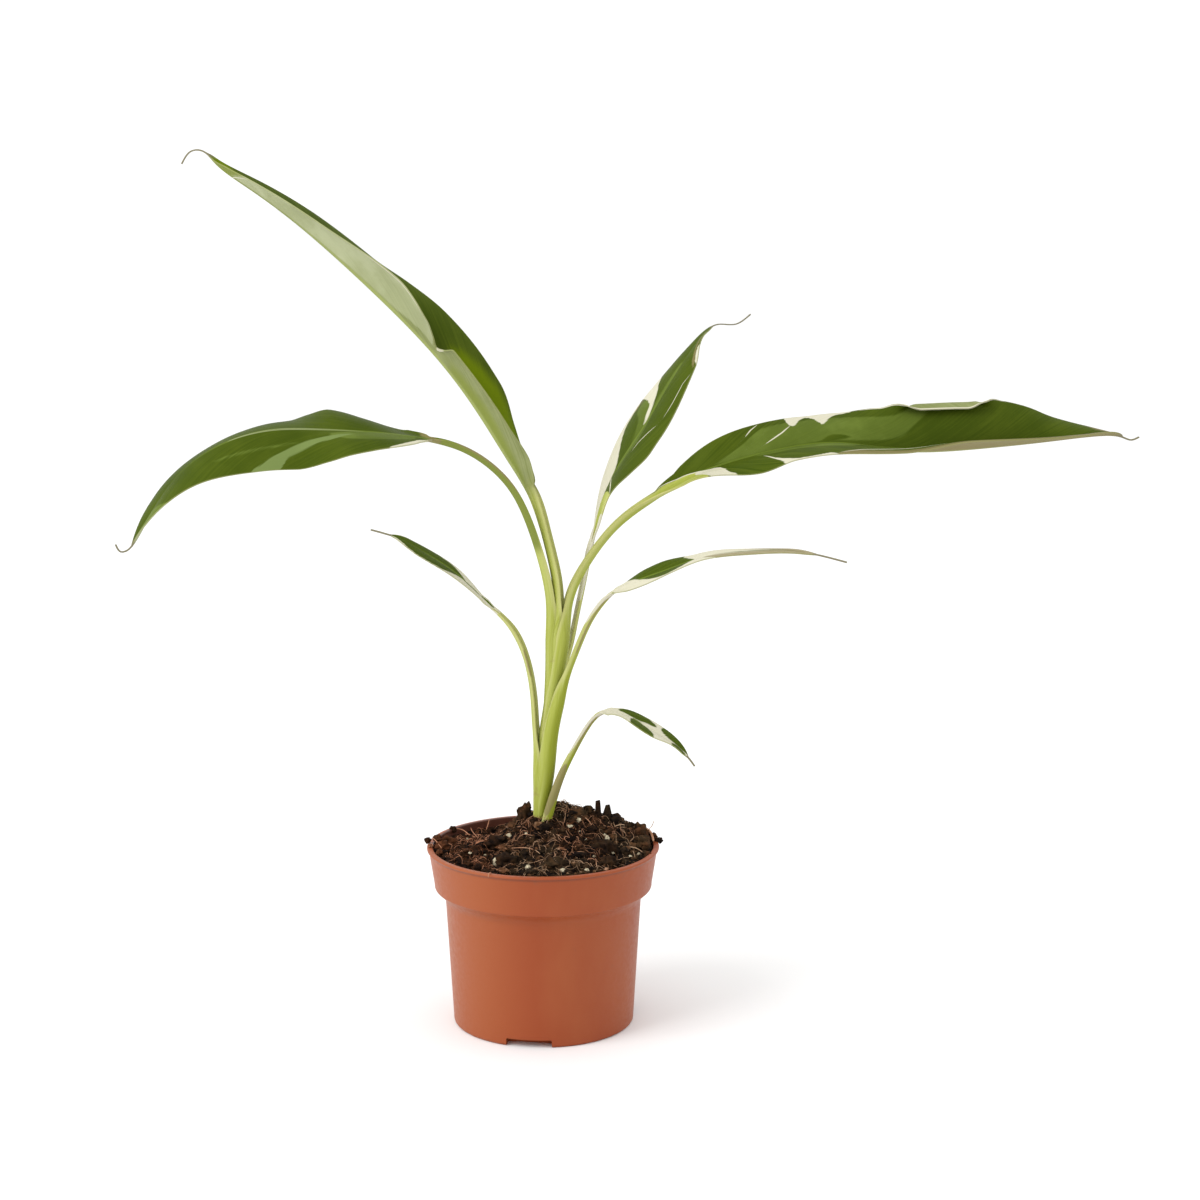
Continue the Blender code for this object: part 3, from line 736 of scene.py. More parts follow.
    def build(self, plastic: bpy.types.Material) -> bpy.types.Object:
        """Make the pot with its notches and holes cut.

        Args:
            plastic: the pot's material.

        Returns:
            The finished piece.
        """
        pot = self.shell()
        cutters = self.cutters()
        for tool in cutters:
            cut = pot.modifiers.new(tool.name, "BOOLEAN")
            cut.operation = "DIFFERENCE"
            cut.solver = "EXACT"
            cut.object = tool
        apply_modifiers(pot)
        for tool in cutters:
            bpy.data.objects.remove(tool, do_unlink=True)
        pot.data.materials.clear()
        pot.data.materials.append(plastic)
        pot.data.shade_smooth()
        pot.data.set_sharp_from_angle(angle=math.radians(self.crease_angle))
        return put_on(pot, Slot.POT, "pot")


# Leaves

# Angles are in degrees and lengths in millimetres; keyed curves run over stations.
PETIOLE_CUP = -28.0
BLADE_CUP = 16.0
CHANNEL_RISE = 48.0
KEEL_PER_HALF_WIDTH = 0.58
BLADE_BACK = 0.2
BLADE_FACE = 0.1
SHEATH_SWEEP = 158.0
SHEATH_CLOSING = 13.0
RING_SPACING = 0.55
HALF_COLUMNS = 20
RIM_ANGLE = 55.0
BLADE_ENTRY = 0.05
CUP = ((-0.05, PETIOLE_CUP), (0.2, BLADE_CUP))
KEEL_HEIGHT = ((-0.1, 1.0), (0.3, 0.6), (0.9, 0.0))
KEEL_REACH = ((-0.05, 1.3), (0.15, 0.4))
ROLL_START = 0.72
ROLL_END = 0.9
VEIN_BEND = 0.62


@dataclass(frozen=True)
class Streak:
    """A thin cream line along a vein: its route in (station, across) and its half width."""

    route: Outline
    half_width: float


@dataclass(frozen=True)
class Marks:
    """The variegation of one leaf, as outlines in (station, across).

    Attributes:
        pale: lighter green areas.
        cream: areas without green.
        green: dark green areas, which also show inside cream ones.
        tan: pinkish and dry areas.
        bright: painted light, yellowish green where light comes through the leaf.
        light: crisp lighter bands.
        lime: parts of the blade with the colour of the stalk.
        streaks: thin cream lines.
    """

    pale: tuple[Outline, ...] = ()
    cream: tuple[Outline, ...] = ()
    green: tuple[Outline, ...] = ()
    tan: tuple[Outline, ...] = ()
    bright: tuple[Outline, ...] = ()
    light: tuple[Outline, ...] = ()
    lime: tuple[Outline, ...] = ()
    streaks: tuple[Streak, ...] = ()


@dataclass(frozen=True)
class LeafForm:
    """The form of one leaf, from inside the false stem to its tip thread.

    Attributes:
        name: the name of its solid.
        azimuth: the way it points, in degrees from +X.
        sheath: (x, y, z, radius) along the middle of its wrapped sheath, upwards.
        route: points of the midrib from the top of the sheath to the end of the tip thread.
        blade: the numbers of the route points where the blade starts and ends.
        stalk: half the breadth of the stalk's channel, along its curve, at stations.
        half_width: the widest half breadth of the blade.
        peak: where along the blade the widest place lies, 0 to 1.
        fullness: how full the outline is; smaller is fuller.
        left_rise: how steeply the left half stands, in degrees at stations of the blade.
        right_rise: the same for the right half.
        left_trim: factors on the left half's breadth at stations.
        right_trim: the same for the right half.
        left_roll: how far the left margin rolls up over the face, in degrees at stations.
        vein_lead: how far forwards a side vein runs from the midrib to the widest margin.
        thread: half the breadth of the tip thread.
        marks: the leaf's variegation.
    """

    name: str
    azimuth: float
    sheath: tuple[tuple[float, float, float, float], ...]
    route: tuple[Point, ...]
    blade: tuple[int, int]
    stalk: Keys
    half_width: float
    peak: float
    fullness: float
    left_rise: Keys
    right_rise: Keys
    left_trim: Keys = ((0.0, 1.0),)
    right_trim: Keys = ((0.0, 1.0),)
    left_roll: Keys = ((0.0, 0.0),)
    vein_lead: float = 30.0
    thread: float = 0.24
    marks: Marks = Marks()


@dataclass(frozen=True)
class Section:
    """One half of a leaf's cross-section.

    Attributes:
        breadth: its length along the curve.
        start: its angle at the midrib, from the flat, in radians.
        sweep: how far it turns from midrib to margin.
        roll: how much further its margin turns.
    """

    breadth: float
    start: float
    sweep: float
    roll: float

    def outline(self, columns: int) -> list[tuple[float, float]]:
        """Follow the half from the midrib to the margin.

        Args:
            columns: how many steps it takes.

        Returns:
            Its (outward, upward) points.
        """
        outward = 0.0
        upward = 0.0
        points = [(outward, upward)]
        hop = self.breadth / columns
        for column in range(columns):
            part = (column + 0.5) / columns
            rolled = self.roll * smooth_step(ROLL_START, ROLL_END, part)
            angle = self.start + self.sweep * part + rolled
            outward += hop * math.cos(angle)
            upward += hop * math.sin(angle)
            points.append((outward, upward))
        return points


class LeafSheet:
    """The surface of one leaf, worked out ring by ring along its midrib."""

    def __init__(self, form: LeafForm) -> None:
        """Lay the midrib and work out the stations.

        Args:
            form: the leaf's form.
        """
        self.form = form
        points = [(*place[:3], place[3]) for place in form.sheath]
        points += [(*place, form.stalk[0][1]) for place in form.route]
        self.line = SmoothLine.through(points, RING_SPACING)
        offset = len(form.sheath)
        self.stalk_start = float(self.line.marks[offset])
        self.blade_start = float(self.line.marks[offset + form.blade[0]])
        self.blade_end = float(self.line.marks[offset + form.blade[1]])
        heading = math.radians(form.azimuth)
        self.sideways = Vector((math.sin(heading), -math.cos(heading), 0.0))
        self.tangents = np.gradient(self.line.places[:, :3], axis=0)

    def stalk_ring(self) -> int:
        """Return the number of the ring where the stalk leaves its sheath."""
        return int(np.searchsorted(self.line.lengths, self.stalk_start - 0.001))

    def station(self, ring: int) -> float:
        """Return a ring's station: 0 to 1 along the blade, below 0 on the stalk."""
        length = self.line.lengths[ring]
        return float((length - self.blade_start) / (self.blade_end - self.blade_start))

    def closing(self, ring: int) -> float:
        """Return how far the sheath has closed round at a ring: 0 open, 1 closed."""
        below = self.stalk_start - float(self.line.lengths[ring])
        return smooth_step(0.0, SHEATH_CLOSING, below)

    def blade_breadth(self, station: float) -> float:
        """Find the half breadth of stalk, blade or thread, before its trim.

        Args:
            station: the place along the blade.

        Returns:
            The half breadth in millimetres.
        """
        form = self.form
        if station <= 0.0:
            return flowing(form.stalk, station)
        if station >= 1.0:
            return form.thread
        plain = lerp(form.stalk[-1][1], form.thread, station)
        warp = math.log(0.5) / math.log(form.peak)
        swell = math.sin(math.pi * station ** warp) ** form.fullness
        return plain + (form.half_width - plain) * swell

    def section(self, ring: int, side: Side) -> Section:
        """Work out one half of the cross-section.

        Args:
            ring: the ring's number.
            side: the half.

        Returns:
            That half of the section.
        """
        form = self.form
        left = side is Side.LEFT
        station = self.station(ring)
        rises = form.left_rise if left else form.right_rise
        trims = form.left_trim if left else form.right_trim
        roll = flowing(form.left_roll, station) if left else 0.0
        if station < BLADE_ENTRY:
            joined = ((-0.08, CHANNEL_RISE), (BLADE_ENTRY, flowing(rises, BLADE_ENTRY)))
            rise = eased(joined, station)
        else:
            rise = flowing(rises, station)
        cup = eased(CUP, station)
        start = math.radians(rise + cup)
        sweep = math.radians(-2.0 * cup)
        breadth = self.blade_breadth(station) * flowing(trims, station)
        closed = self.closing(ring)
        if closed > 0.0:
            wrap = math.radians(SHEATH_SWEEP)
            radius = self.wrap_radius(ring)
            start = lerp(start, 0.0, closed)
            sweep = lerp(sweep, wrap, closed)
            breadth = lerp(breadth, radius * wrap, closed)
        return Section(breadth, start, sweep, math.radians(roll))

    def frame(self, ring: int) -> tuple[Vector, Vector, Vector]:
        """Work out how a ring's cross-section stands.

        Args:
            ring: the ring's number.

        Returns:
            The middle of the section, its direction to the right and its direction upwards.
        """
        along = Vector(self.tangents[ring][:3]).normalized()
        right = (self.sideways - along * self.sideways.dot(along)).normalized()
        up = right.cross(along)
        middle = Vector(self.line.places[ring][:3])
        return middle - up * (self.wrap_radius(ring) * self.closing(ring)), right, up

    def wrap_radius(self, ring: int) -> float:
        """Return the radius of a sheath's inner face at a ring."""
        return float(self.line.places[ring, 3]) - BLADE_BACK

    def keel(self, station: float, part: float) -> float:
        """Return the share of the keel's depth, part running from midrib to margin."""
        reach = eased(KEEL_REACH, station)
        return eased(KEEL_HEIGHT, station) * max(0.0, 1.0 - part / reach)

    def depth(self, ring: int, part: float) -> float:
        """Find the sheet's thickness.

        Args:
            ring: the ring's number.
            part: the place from the midrib (0) to the margin (1).

        Returns:
            The thickness in millimetres.
        """
        station = self.station(ring)
        rib = flowing(self.form.stalk, station) * KEEL_PER_HALF_WIDTH - BLADE_BACK
        share = self.keel(station, part) * (1.0 - self.closing(ring))
        return BLADE_FACE + BLADE_BACK + max(0.0, rib) * share

    def deepest(self) -> float:
        """Return the greatest thickness anywhere."""
        widest = max(width for _, width in self.form.stalk)
        return BLADE_FACE + max(BLADE_BACK, widest * KEEL_PER_HALF_WIDTH)


@dataclass(frozen=True)
class SheetSpan:
    """A run of rings of a leaf's sheet that becomes one mesh.

    Attributes:
        sheet: the leaf's surface.
        first: the first ring.
        last: the last ring.
    """

    sheet: LeafSheet
    first: int
    last: int

    def lay(self, name: str) -> bpy.types.Mesh:
        """Lay the open surface with its UV map and attributes.

        The UV map "leaf" holds the place along the veins and across the blade, in
        centimetres. The attribute "depth" is the thickness, "station" the place along the
        blade, "across" the place from the left margin (-1) to the right (1) and "edge" the
        distance from the nearer margin.

        Args:
            name: the mesh's name.

        Returns:
            The mesh.
        """
        sheet = self.sheet
        rings = self.last - self.first
        shape = bmesh.new()
        bmesh.ops.create_grid(shape, x_segments=2 * HALF_COLUMNS, y_segments=rings, size=1.0)
        names = ("depth", "station", "across", "edge")
        layers = [shape.verts.layers.float.new(layer) for layer in names]
        uv = shape.loops.layers.uv.new("leaf")
        rows: dict[int, list[bmesh.types.BMVert]] = {}
        for vertex in shape.verts:
            row = round((vertex.co.y + 1.0) / 2.0 * rings)
            rows.setdefault(row, []).append(vertex)
        flat: dict[bmesh.types.BMVert, tuple[float, float]] = {}
        for row, vertices in rows.items():
            ring = self.first + row
            length = float(sheet.line.lengths[ring])
            middle, right, up = sheet.frame(ring)
            halves = {side: sheet.section(ring, side) for side in Side}
            outlines = {side: halves[side].outline(HALF_COLUMNS) for side in Side}
            for vertex in vertices:
                across = vertex.co.x
                side = Side.RIGHT if across > 0.0 else Side.LEFT
                part = abs(across)
                outward, upward = outlines[side][round(part * HALF_COLUMNS)]
                place = middle + right * (side.value * outward) + up * (upward + BLADE_FACE)
                distance = part * halves[side].breadth
                from_edge = halves[side].breadth - distance
                values = (sheet.depth(ring, part), sheet.station(ring), across, from_edge)
                for layer, value in zip(layers, values):
                    vertex[layer] = value
                lead = sheet.form.vein_lead * (distance / sheet.form.half_width) ** VEIN_BEND
                place_on_leaf = (length - lead, side.value * distance)
                flat[vertex] = tuple(value * CM_PER_MM for value in place_on_leaf)
                vertex.co = place * MM
        for face in shape.faces:
            for loop in face.loops:
                loop[uv].uv = flat[loop.vert]
        return mesh_of(shape, name)


def thicken(made: bpy.types.Object, deepest: float, face: bpy.types.Material,
            back: bpy.types.Material) -> None:
    """Give an open sheet its materials and its thickness on the back.

    Args:
        made: the sheet, whose "depth" attribute holds the thickness.
        deepest: the depth, in millimetres, that the full weight of the group stands for.
        face: the material of the sheet.
        back: the material of its back and rim.
    """
    made.data.materials.append(face)
    made.data.materials.append(back)
    depths = [item.value for item in made.data.attributes["depth"].data]
    group = made.vertex_groups.new(name="depth")
    for index, depth in enumerate(depths):
        group.add([index], min(1.0, depth / deepest), "REPLACE")
    solid = made.modifiers.new("Thickness", "SOLIDIFY")
    solid.thickness = deepest * MM
    solid.offset = -1.0
    solid.vertex_group = group.name
    solid.material_offset = 1
    solid.material_offset_rim = 1
    made.data.shade_smooth()
    apply_modifiers(made)
    made.vertex_groups.clear()
    made.data.set_sharp_from_angle(angle=math.radians(RIM_ANGLE))


TALL_LEFT_MARKS = Marks(
    pale=(
        ((0.36, -0.1), (0.37, -1.2), (0.89, -1.2), (0.92, -0.5), (0.93, -0.05)),
    ),
    cream=(
        ((0.335, -1.2), (0.335, -0.7), (0.345, -0.5), (0.35, -0.7), (0.35, -1.2)),
    ),
    bright=(
        ((0.0, 0.0), (0.0, -0.35), (0.12, -0.4), (0.3, -0.3), (0.3, 0.0)),
        ((0.02, 0.05), (0.1, 0.0), (0.2, 0.0), (0.27, 0.1), (0.34, 0.35), (0.31, 0.6),
         (0.24, 0.78), (0.14, 0.95), (0.03, 0.95)),
        ((0.895, -1.2), (0.91, -0.7), (0.93, 0.2), (0.95, 1.2), (1.0, 1.2), (1.0, -1.2)),
    ),
    streaks=(
        Streak(((0.885, -0.95), (0.9, -0.6), (0.915, -0.25), (0.925, 0.05)), 0.25),
        Streak(((0.36, -0.96), (0.4, -0.97), (0.46, -0.97), (0.52, -0.97), (0.6, -0.98)), 0.3),
    ))

DROOPING_LEFT_MARKS = Marks(
    pale=(
        ((0.04, 0.0), (0.06, -0.4), (0.14, -0.55), (0.24, -0.5), (0.33, -0.2), (0.2, 0.0)),
        ((0.84, -1.2), (0.88, -0.4), (0.94, 0.2), (1.0, 0.2), (1.0, -1.2)),
        ((0.38, -0.36), (0.49, -0.44), (0.67, -0.44), (0.67, -0.49), (0.5, -0.5)),
    ),
    light=(
        ((0.24, -0.19), (0.305, -0.25), (0.34, -0.3), (0.375, -0.35), (0.415, -0.45),
         (0.46, -0.6), (0.5, -0.7), (0.54, -0.85), (0.58, -0.95), (0.6, -1.2), (0.52, -1.2),
         (0.465, -0.9), (0.45, -0.75), (0.415, -0.65), (0.38, -0.55), (0.345, -0.45),
         (0.305, -0.4), (0.25, -0.26)),
    ),
    cream=(
        ((0.0, -1.2), (0.02, -0.6), (0.035, -0.4), (0.06, -0.62), (0.115, -0.9), (0.15, -0.96),
         (0.18, -1.2)),
    ),
    bright=(((-0.5, -1.3), (-0.02, -1.3), (0.02, 0.0), (0.0, 1.3), (-0.5, 1.3)),),
    tan=(
        ((-0.03, -1.2), (-0.02, 1.2), (0.02, 1.2), (0.03, -0.3), (0.02, -1.2)),
        ((-0.4, 1.2), (-0.4, 0.6), (-0.06, 0.5), (-0.06, 1.2)),
        ((-0.34, -1.2), (-0.31, -0.75), (-0.1, -0.7), (-0.05, -1.2)),
    ),
    streaks=(
        Streak(((0.2, 0.0), (0.32, 0.0), (0.45, 0.0), (0.6, -0.01)), 0.36),
    ))

SLENDER_LEFT_MARKS = Marks(
    cream=(((-0.08, -1.4), (1.0, -1.4), (1.0, 1.4), (-0.08, 1.4)),),
    green=(
        ((0.27, 0.0), (0.34, -0.35), (0.4, -0.75), (0.47, -1.0), (0.7, -1.0), (0.85, -0.85),
         (1.02, -0.5), (1.02, 0.6), (0.85, 0.9), (0.6, 0.9), (0.46, 0.75), (0.35, 0.35)),
        ((-0.02, 0.3), (0.03, 0.1), (0.12, 0.05), (0.12, 0.4), (0.04, 0.7), (-0.02, 0.7)),
        ((0.12, -0.15), (0.28, -0.3), (0.3, 0.0), (0.14, 0.12)),
    ),
    tan=(((-0.62, -1.2), (-0.6, -0.8), (-0.42, -0.8), (-0.4, -1.2)),))

UPRIGHT_RIGHT_MARKS = Marks(
    pale=(
        ((0.4, -0.04), (0.46, -0.16), (0.52, -0.35), (0.55, -0.68), (0.61, -0.75), (0.61, -0.5),
         (0.6, -0.25), (0.55, -0.1), (0.48, -0.02)),
        ((0.26, 0.25), (0.34, 0.12), (0.42, 0.22), (0.56, 0.06), (0.8, 0.04), (0.8, -0.1),
         (0.6, -0.1), (0.32, 0.0)),
    ),
    lime=(((-0.1, -0.05), (0.17, 0.0), (0.19, 0.5), (0.17, 1.3), (-0.1, 1.3)),),
    cream=(
        ((-0.5, -1.3), (0.61, -1.3), (0.6, -0.9), (0.54, -0.86), (0.48, -0.8), (0.42, -0.6),
         (0.36, -0.33), (0.3, -0.08), (0.24, 0.0), (0.15, 0.03), (0.0, 0.0), (-0.5, -0.2)),
        ((-0.25, 0.7), (-0.1, 0.5), (0.05, 0.45), (0.1, 0.6), (0.1, 1.3), (-0.25, 1.3)),
        ((0.49, -0.02), (0.55, -0.17), (0.59, -0.24), (0.61, -0.5), (0.62, -1.3), (0.77, -1.3),
         (0.71, -0.65), (0.65, -0.27), (0.6, -0.13), (0.54, -0.03)),
        ((0.8, 1.3), (0.81, 0.9), (0.84, 0.8), (0.88, 0.85), (0.9, 1.3)),
    ),
    green=(
        ((0.3, 0.0), (0.36, -0.27), (0.42, -0.56), (0.48, -0.77), (0.53, -0.76), (0.54, -0.55),
         (0.5, -0.3), (0.45, -0.14), (0.38, -0.03)),
    ),
    tan=(
        ((-0.55, 0.1), (-0.55, 0.36), (0.05, 0.32), (0.17, 0.1), (0.16, -0.05), (0.0, 0.0)),
        ((0.55, -0.66), (0.56, -0.9), (0.61, -0.9), (0.62, -0.66)),
        ((0.78, 0.95), (0.82, 0.6), (0.9, 0.6), (0.94, 0.9), (0.86, 0.75)),
    ),
    streaks=(
        Streak(((0.38, 0.26), (0.42, 0.3), (0.47, 0.45), (0.51, 0.6)), 0.13),
        Streak(((0.55, 0.7), (0.62, 0.75), (0.71, 0.78), (0.76, 0.92)), 0.11),
        Streak(((0.18, 0.95), (0.21, 0.55), (0.24, 0.1), (0.255, -0.1)), 0.2),
    ))

BROAD_RIGHT_MARKS = Marks(
    pale=(
        ((0.12, -0.05), (0.16, -0.25), (0.2, -0.43), (0.22, -0.62), (0.25, -0.8), (0.4, -0.8),
         (0.46, -0.73), (0.55, -0.8), (0.61, -0.88), (0.595, -0.75), (0.575, -0.6),
         (0.55, -0.42), (0.53, -0.3), (0.5, -0.2), (0.42, -0.1), (0.3, -0.03)),
        ((0.2, 0.05), (0.34, 0.05), (0.44, 0.3), (0.4, 0.55), (0.33, 0.45), (0.26, 0.3)),
    ),
    lime=(((-0.1, -0.8), (0.01, -0.8), (0.05, -0.33), (0.11, 0.0), (0.1, 1.3), (-0.1, 1.3)),),
    cream=(
        ((0.085, -0.1), (0.12, 0.02), (0.14, 0.3), (0.145, 0.8), (0.165, 0.95), (0.17, 1.3),
         (0.11, 1.3), (0.1, 0.6), (0.085, 0.1)),
        ((0.298, -1.3), (0.298, -0.8), (0.305, -0.62), (0.315, -0.66), (0.326, -0.84),
         (0.34, -0.93), (0.354, -0.84), (0.365, -0.56), (0.374, -0.66), (0.387, -0.84),
         (0.4, -0.93), (0.43, -0.98), (0.46, -1.3)),
        ((0.24, 0.5), (0.256, 0.72), (0.28, 0.95), (0.32, 0.97), (0.36, 0.9), (0.39, 1.3),
         (0.27, 1.3), (0.25, 0.9)),
    ),
    green=(
        ((0.34, -0.04), (0.36, -0.11), (0.375, -0.23), (0.4, -0.25), (0.425, -0.19),
         (0.4, -0.11), (0.36, -0.03)),
        ((0.145, 0.3), (0.18, 0.25), (0.23, 0.4), (0.25, 0.7), (0.265, 1.3), (0.17, 1.3),
         (0.15, 0.7)),
        ((0.245, 0.45), (0.26, 0.38), (0.32, 0.52), (0.4, 0.68), (0.41, 0.86), (0.33, 0.93),
         (0.29, 0.9), (0.262, 0.7)),
    ),
    tan=(
        ((0.36, 1.0), (0.385, 0.88), (0.42, 0.65), (0.46, 0.3), (0.5, -0.08), (1.0, -0.1),
         (1.0, 1.3), (0.36, 1.3)),
        ((0.92, -1.3), (0.95, -0.6), (0.92, -0.27), (0.88, -0.12), (0.9, 0.3), (1.02, 0.3),
         (1.02, -1.3)),
    ),
    streaks=(
        Streak(((0.0, -0.95), (0.025, -0.7), (0.054, -0.35), (0.085, -0.12), (0.115, 0.02)),
               0.36),
        Streak(((0.228, 0.24), (0.234, 0.35), (0.241, 0.52), (0.25, 0.72), (0.27, 0.95)), 0.25),
        Streak(((0.37, 0.94), (0.42, 0.8), (0.5, 0.72), (0.6, 0.66), (0.75, 0.6)), 0.22),
        Streak(((0.44, -0.98), (0.53, -0.99), (0.63, -0.99), (0.76, -0.99)), 0.3),
        Streak(((0.207, -0.65), (0.222, -0.82), (0.24, -0.96)), 0.2),
        Streak(((0.242, -0.25), (0.262, -0.36), (0.282, -0.48), (0.303, -0.66)), 0.24),
    ))

SLENDER_RIGHT_MARKS = Marks(
    cream=(
        ((-0.04, -1.4), (1.0, -1.4), (1.0, 1.4), (-0.04, 1.4)),
        ((-0.2, 0.8), (-0.1, 0.5), (0.0, 0.3), (0.0, 1.3), (-0.2, 1.3)),
    ),
    green=(((0.04, -1.3), (0.1, -0.4), (0.15, 0.1), (0.2, 0.58), (0.26, 0.9), (0.33, 0.92),
            (0.39, 0.75), (0.42, 0.4), (0.43, 0.0), (0.39, -0.4), (0.36, -0.8), (0.37, -1.3)),
           ((0.52, 0.0), (0.95, -0.12), (0.95, 0.2), (0.52, 0.3))),
    pale=(((0.2, -1.3), (0.25, -0.45), (0.4, -0.2), (0.43, 0.5), (0.5, 0.0), (0.4, -1.3)),),
    tan=(
        ((-0.35, 0.15), (-0.35, 0.5), (-0.02, 0.45), (0.0, 0.15)),
        ((0.46, 0.5), (0.54, -0.1), (0.66, -0.5), (0.9, -0.8), (0.95, -1.3), (1.0, -1.3),
         (1.0, 1.3), (0.6, 1.3)),
    ))

LOW_RIGHT_MARKS = Marks(
    cream=(
        ((-0.1, -1.4), (1.0, -1.4), (1.0, 1.4), (-0.1, 1.4)),
        ((-0.6, 0.8), (-0.3, 0.45), (-0.1, 0.35), (-0.1, 1.3), (-0.6, 1.3)),
    ),
    green=(
        ((0.12, -0.65), (0.17, -0.95), (0.3, -1.1), (0.5, -0.8), (0.57, -0.5), (0.53, -0.34),
         (0.45, -0.3), (0.38, -0.13), (0.25, -0.13), (0.15, -0.3)),
        ((0.3, -0.1), (0.4, -0.08), (0.52, 0.3), (0.61, 0.75), (0.61, 1.2), (0.34, 1.2),
         (0.3, 0.6)),
        ((0.6, -0.6), (0.64, -1.3), (1.0, -1.3), (0.98, -0.1), (0.75, -0.13), (0.65, -0.3)),
        ((0.79, -0.1), (0.95, -0.1), (0.98, 0.5), (0.95, 1.3), (0.82, 1.3), (0.79, 0.5)),
    ),
    tan=(
        ((-1.35, 0.6), (-1.2, 1.3), (-0.85, 1.3), (-0.68, 0.5), (-0.8, 0.0), (-1.05, -0.1)),
        ((-0.6, 0.15), (-0.5, 0.5), (-0.1, 0.5), (-0.02, 0.1)),
    ))

TALL_LEFT = LeafForm(
    name="leaf_tall_left",
    azimuth=167.0,
    sheath=((-1.2, -0.1, 47.0, 1.4), (-0.9, 0.1, 56.0, 1.6), (-0.1, 0.4, 65.0, 2.1),
            (1.2, 0.6, 76.0, 2.2), (2.5, 0.6, 86.0, 2.0), (3.5, 0.4, 98.0, 2.3)),
    route=((3.8, 0.3, 112.35), (2.4, 0.6, 121.5), (-0.8, 1.3, 133.7), (-3.3, 1.8, 139.8),
           (-8.1, 2.8, 147.4), (-14.3, 4.1, 156.9), (-26.3, 6.8, 172.7),
           (-46.1, 11.1, 192.0), (-62.1, 14.5, 205.4), (-73.5, 17.0, 213.5),
           (-82.4, 19.0, 219.8), (-85.1, 19.6, 222.6), (-87.3, 20.1, 223.5),
           (-89.6, 20.6, 222.9), (-91.7, 21.1, 220.0)),
    blade=(3, 11),
    stalk=((-0.24, 1.9), (-0.12, 1.8), (0.0, 2.2)),
    half_width=11.5,
    peak=0.42,
    fullness=0.75,
    left_rise=((0.0, 64.0), (0.13, 44.0), (0.33, 36.0), (0.4, 38.0), (0.5, 49.0), (0.7, 38.0),
               (0.86, 35.0), (0.94, 35.0), (1.0, 16.0)),
    right_rise=((0.0, 38.0), (0.07, 17.0), (0.13, 24.0), (0.22, 42.0), (0.4, 38.0),
                (0.5, 29.0), (0.6, 20.0), (0.8, 23.0), (1.0, 27.0)),
    left_trim=((0.315, 1.0), (0.335, 0.5), (0.35, 0.28), (0.368, 0.55), (0.4, 0.9), (0.44, 1.0)),
    right_trim=((0.15, 1.0), (0.25, 0.96), (0.5, 0.97), (0.62, 1.0)),
    marks=TALL_LEFT_MARKS)

DROOPING_LEFT = LeafForm(
    name="leaf_drooping_left",
    azimuth=204.0,
    sheath=((0.6, 0.0, 66.0, 1.4), (1.5, -0.2, 78.0, 1.6), (2.2, -0.3, 90.0, 1.6),
            (2.2, -0.4, 102.0, 1.45)),
    route=((1.6, -0.5, 112.35), (-0.4, -0.5, 121.7), (-4.6, -1.7, 134.2), (-9.5, -3.9, 142.6),
           (-17.5, -7.5, 149.6), (-27.1, -11.5, 153.5), (-39.2, -16.5, 155.7),
           (-53.2, -22.5, 157.2), (-64.2, -27.3, 157.7), (-74.7, -31.9, 155.3),
           (-84.0, -36.0, 149.5), (-91.3, -39.3, 140.1), (-96.2, -41.5, 131.8),
           (-97.8, -42.2, 130.6), (-98.9, -42.7, 130.7), (-99.8, -43.1, 132.4)),
    blade=(5, 12),
    stalk=((-0.7, 1.5), (-0.45, 1.25), (-0.1, 1.15), (0.0, 1.3)),
    half_width=11.5,
    peak=0.42,
    fullness=0.75,
    left_rise=((0.0, 3.0), (0.07, -13.0), (0.2, -22.0), (0.27, -28.0), (0.33, -38.0),
               (0.42, -53.0), (0.55, -49.0), (0.62, -43.0), (0.8, -13.0), (0.93, 14.0),
               (1.0, 32.0)),
    right_rise=((0.0, 27.0), (0.07, 8.0), (0.17, 16.0), (0.24, 22.0), (0.27, 23.0),
                (0.33, 13.0), (0.38, 4.0), (0.45, -1.0), (0.55, -8.0), (0.67, -13.0),
                (0.85, -2.0), (1.0, 14.0)),
    vein_lead=43.0,
    marks=DROOPING_LEFT_MARKS)

SLENDER_LEFT = LeafForm(
    name="leaf_slender_left",
    azimuth=155.0,
    sheath=((-1.0, -0.6, 47.0, 1.5), (-0.95, -0.8, 56.0, 1.55), (-1.05, -0.7, 66.0, 1.5)),
    route=((-2.0, 0.0, 77.75), (-2.5, 0.0, 86.0), (-4.5, 0.7, 96.4), (-8.4, 2.7, 103.8),
           (-13.2, 5.1, 108.3), (-21.6, 9.3, 115.6), (-30.3, 13.7, 120.7),
           (-37.2, 17.1, 124.2), (-39.8, 18.4, 124.8), (-42.4, 19.7, 125.3),
           (-45.1, 21.0, 125.8)),
    blade=(4, 8),
    stalk=((-1.0, 1.15), (-0.5, 1.05), (-0.3, 1.1), (-0.1, 0.8), (0.0, 0.75)),
    half_width=3.3,
    peak=0.55,
    fullness=0.95,
    left_rise=((0.0, -20.0), (0.12, 2.0), (0.5, -2.0), (1.0, -18.0)),
    right_rise=((0.0, 45.0), (0.13, -3.0), (0.4, 2.0), (0.8, 5.0), (1.0, 24.0)),
    vein_lead=18.0,
    marks=SLENDER_LEFT_MARKS)

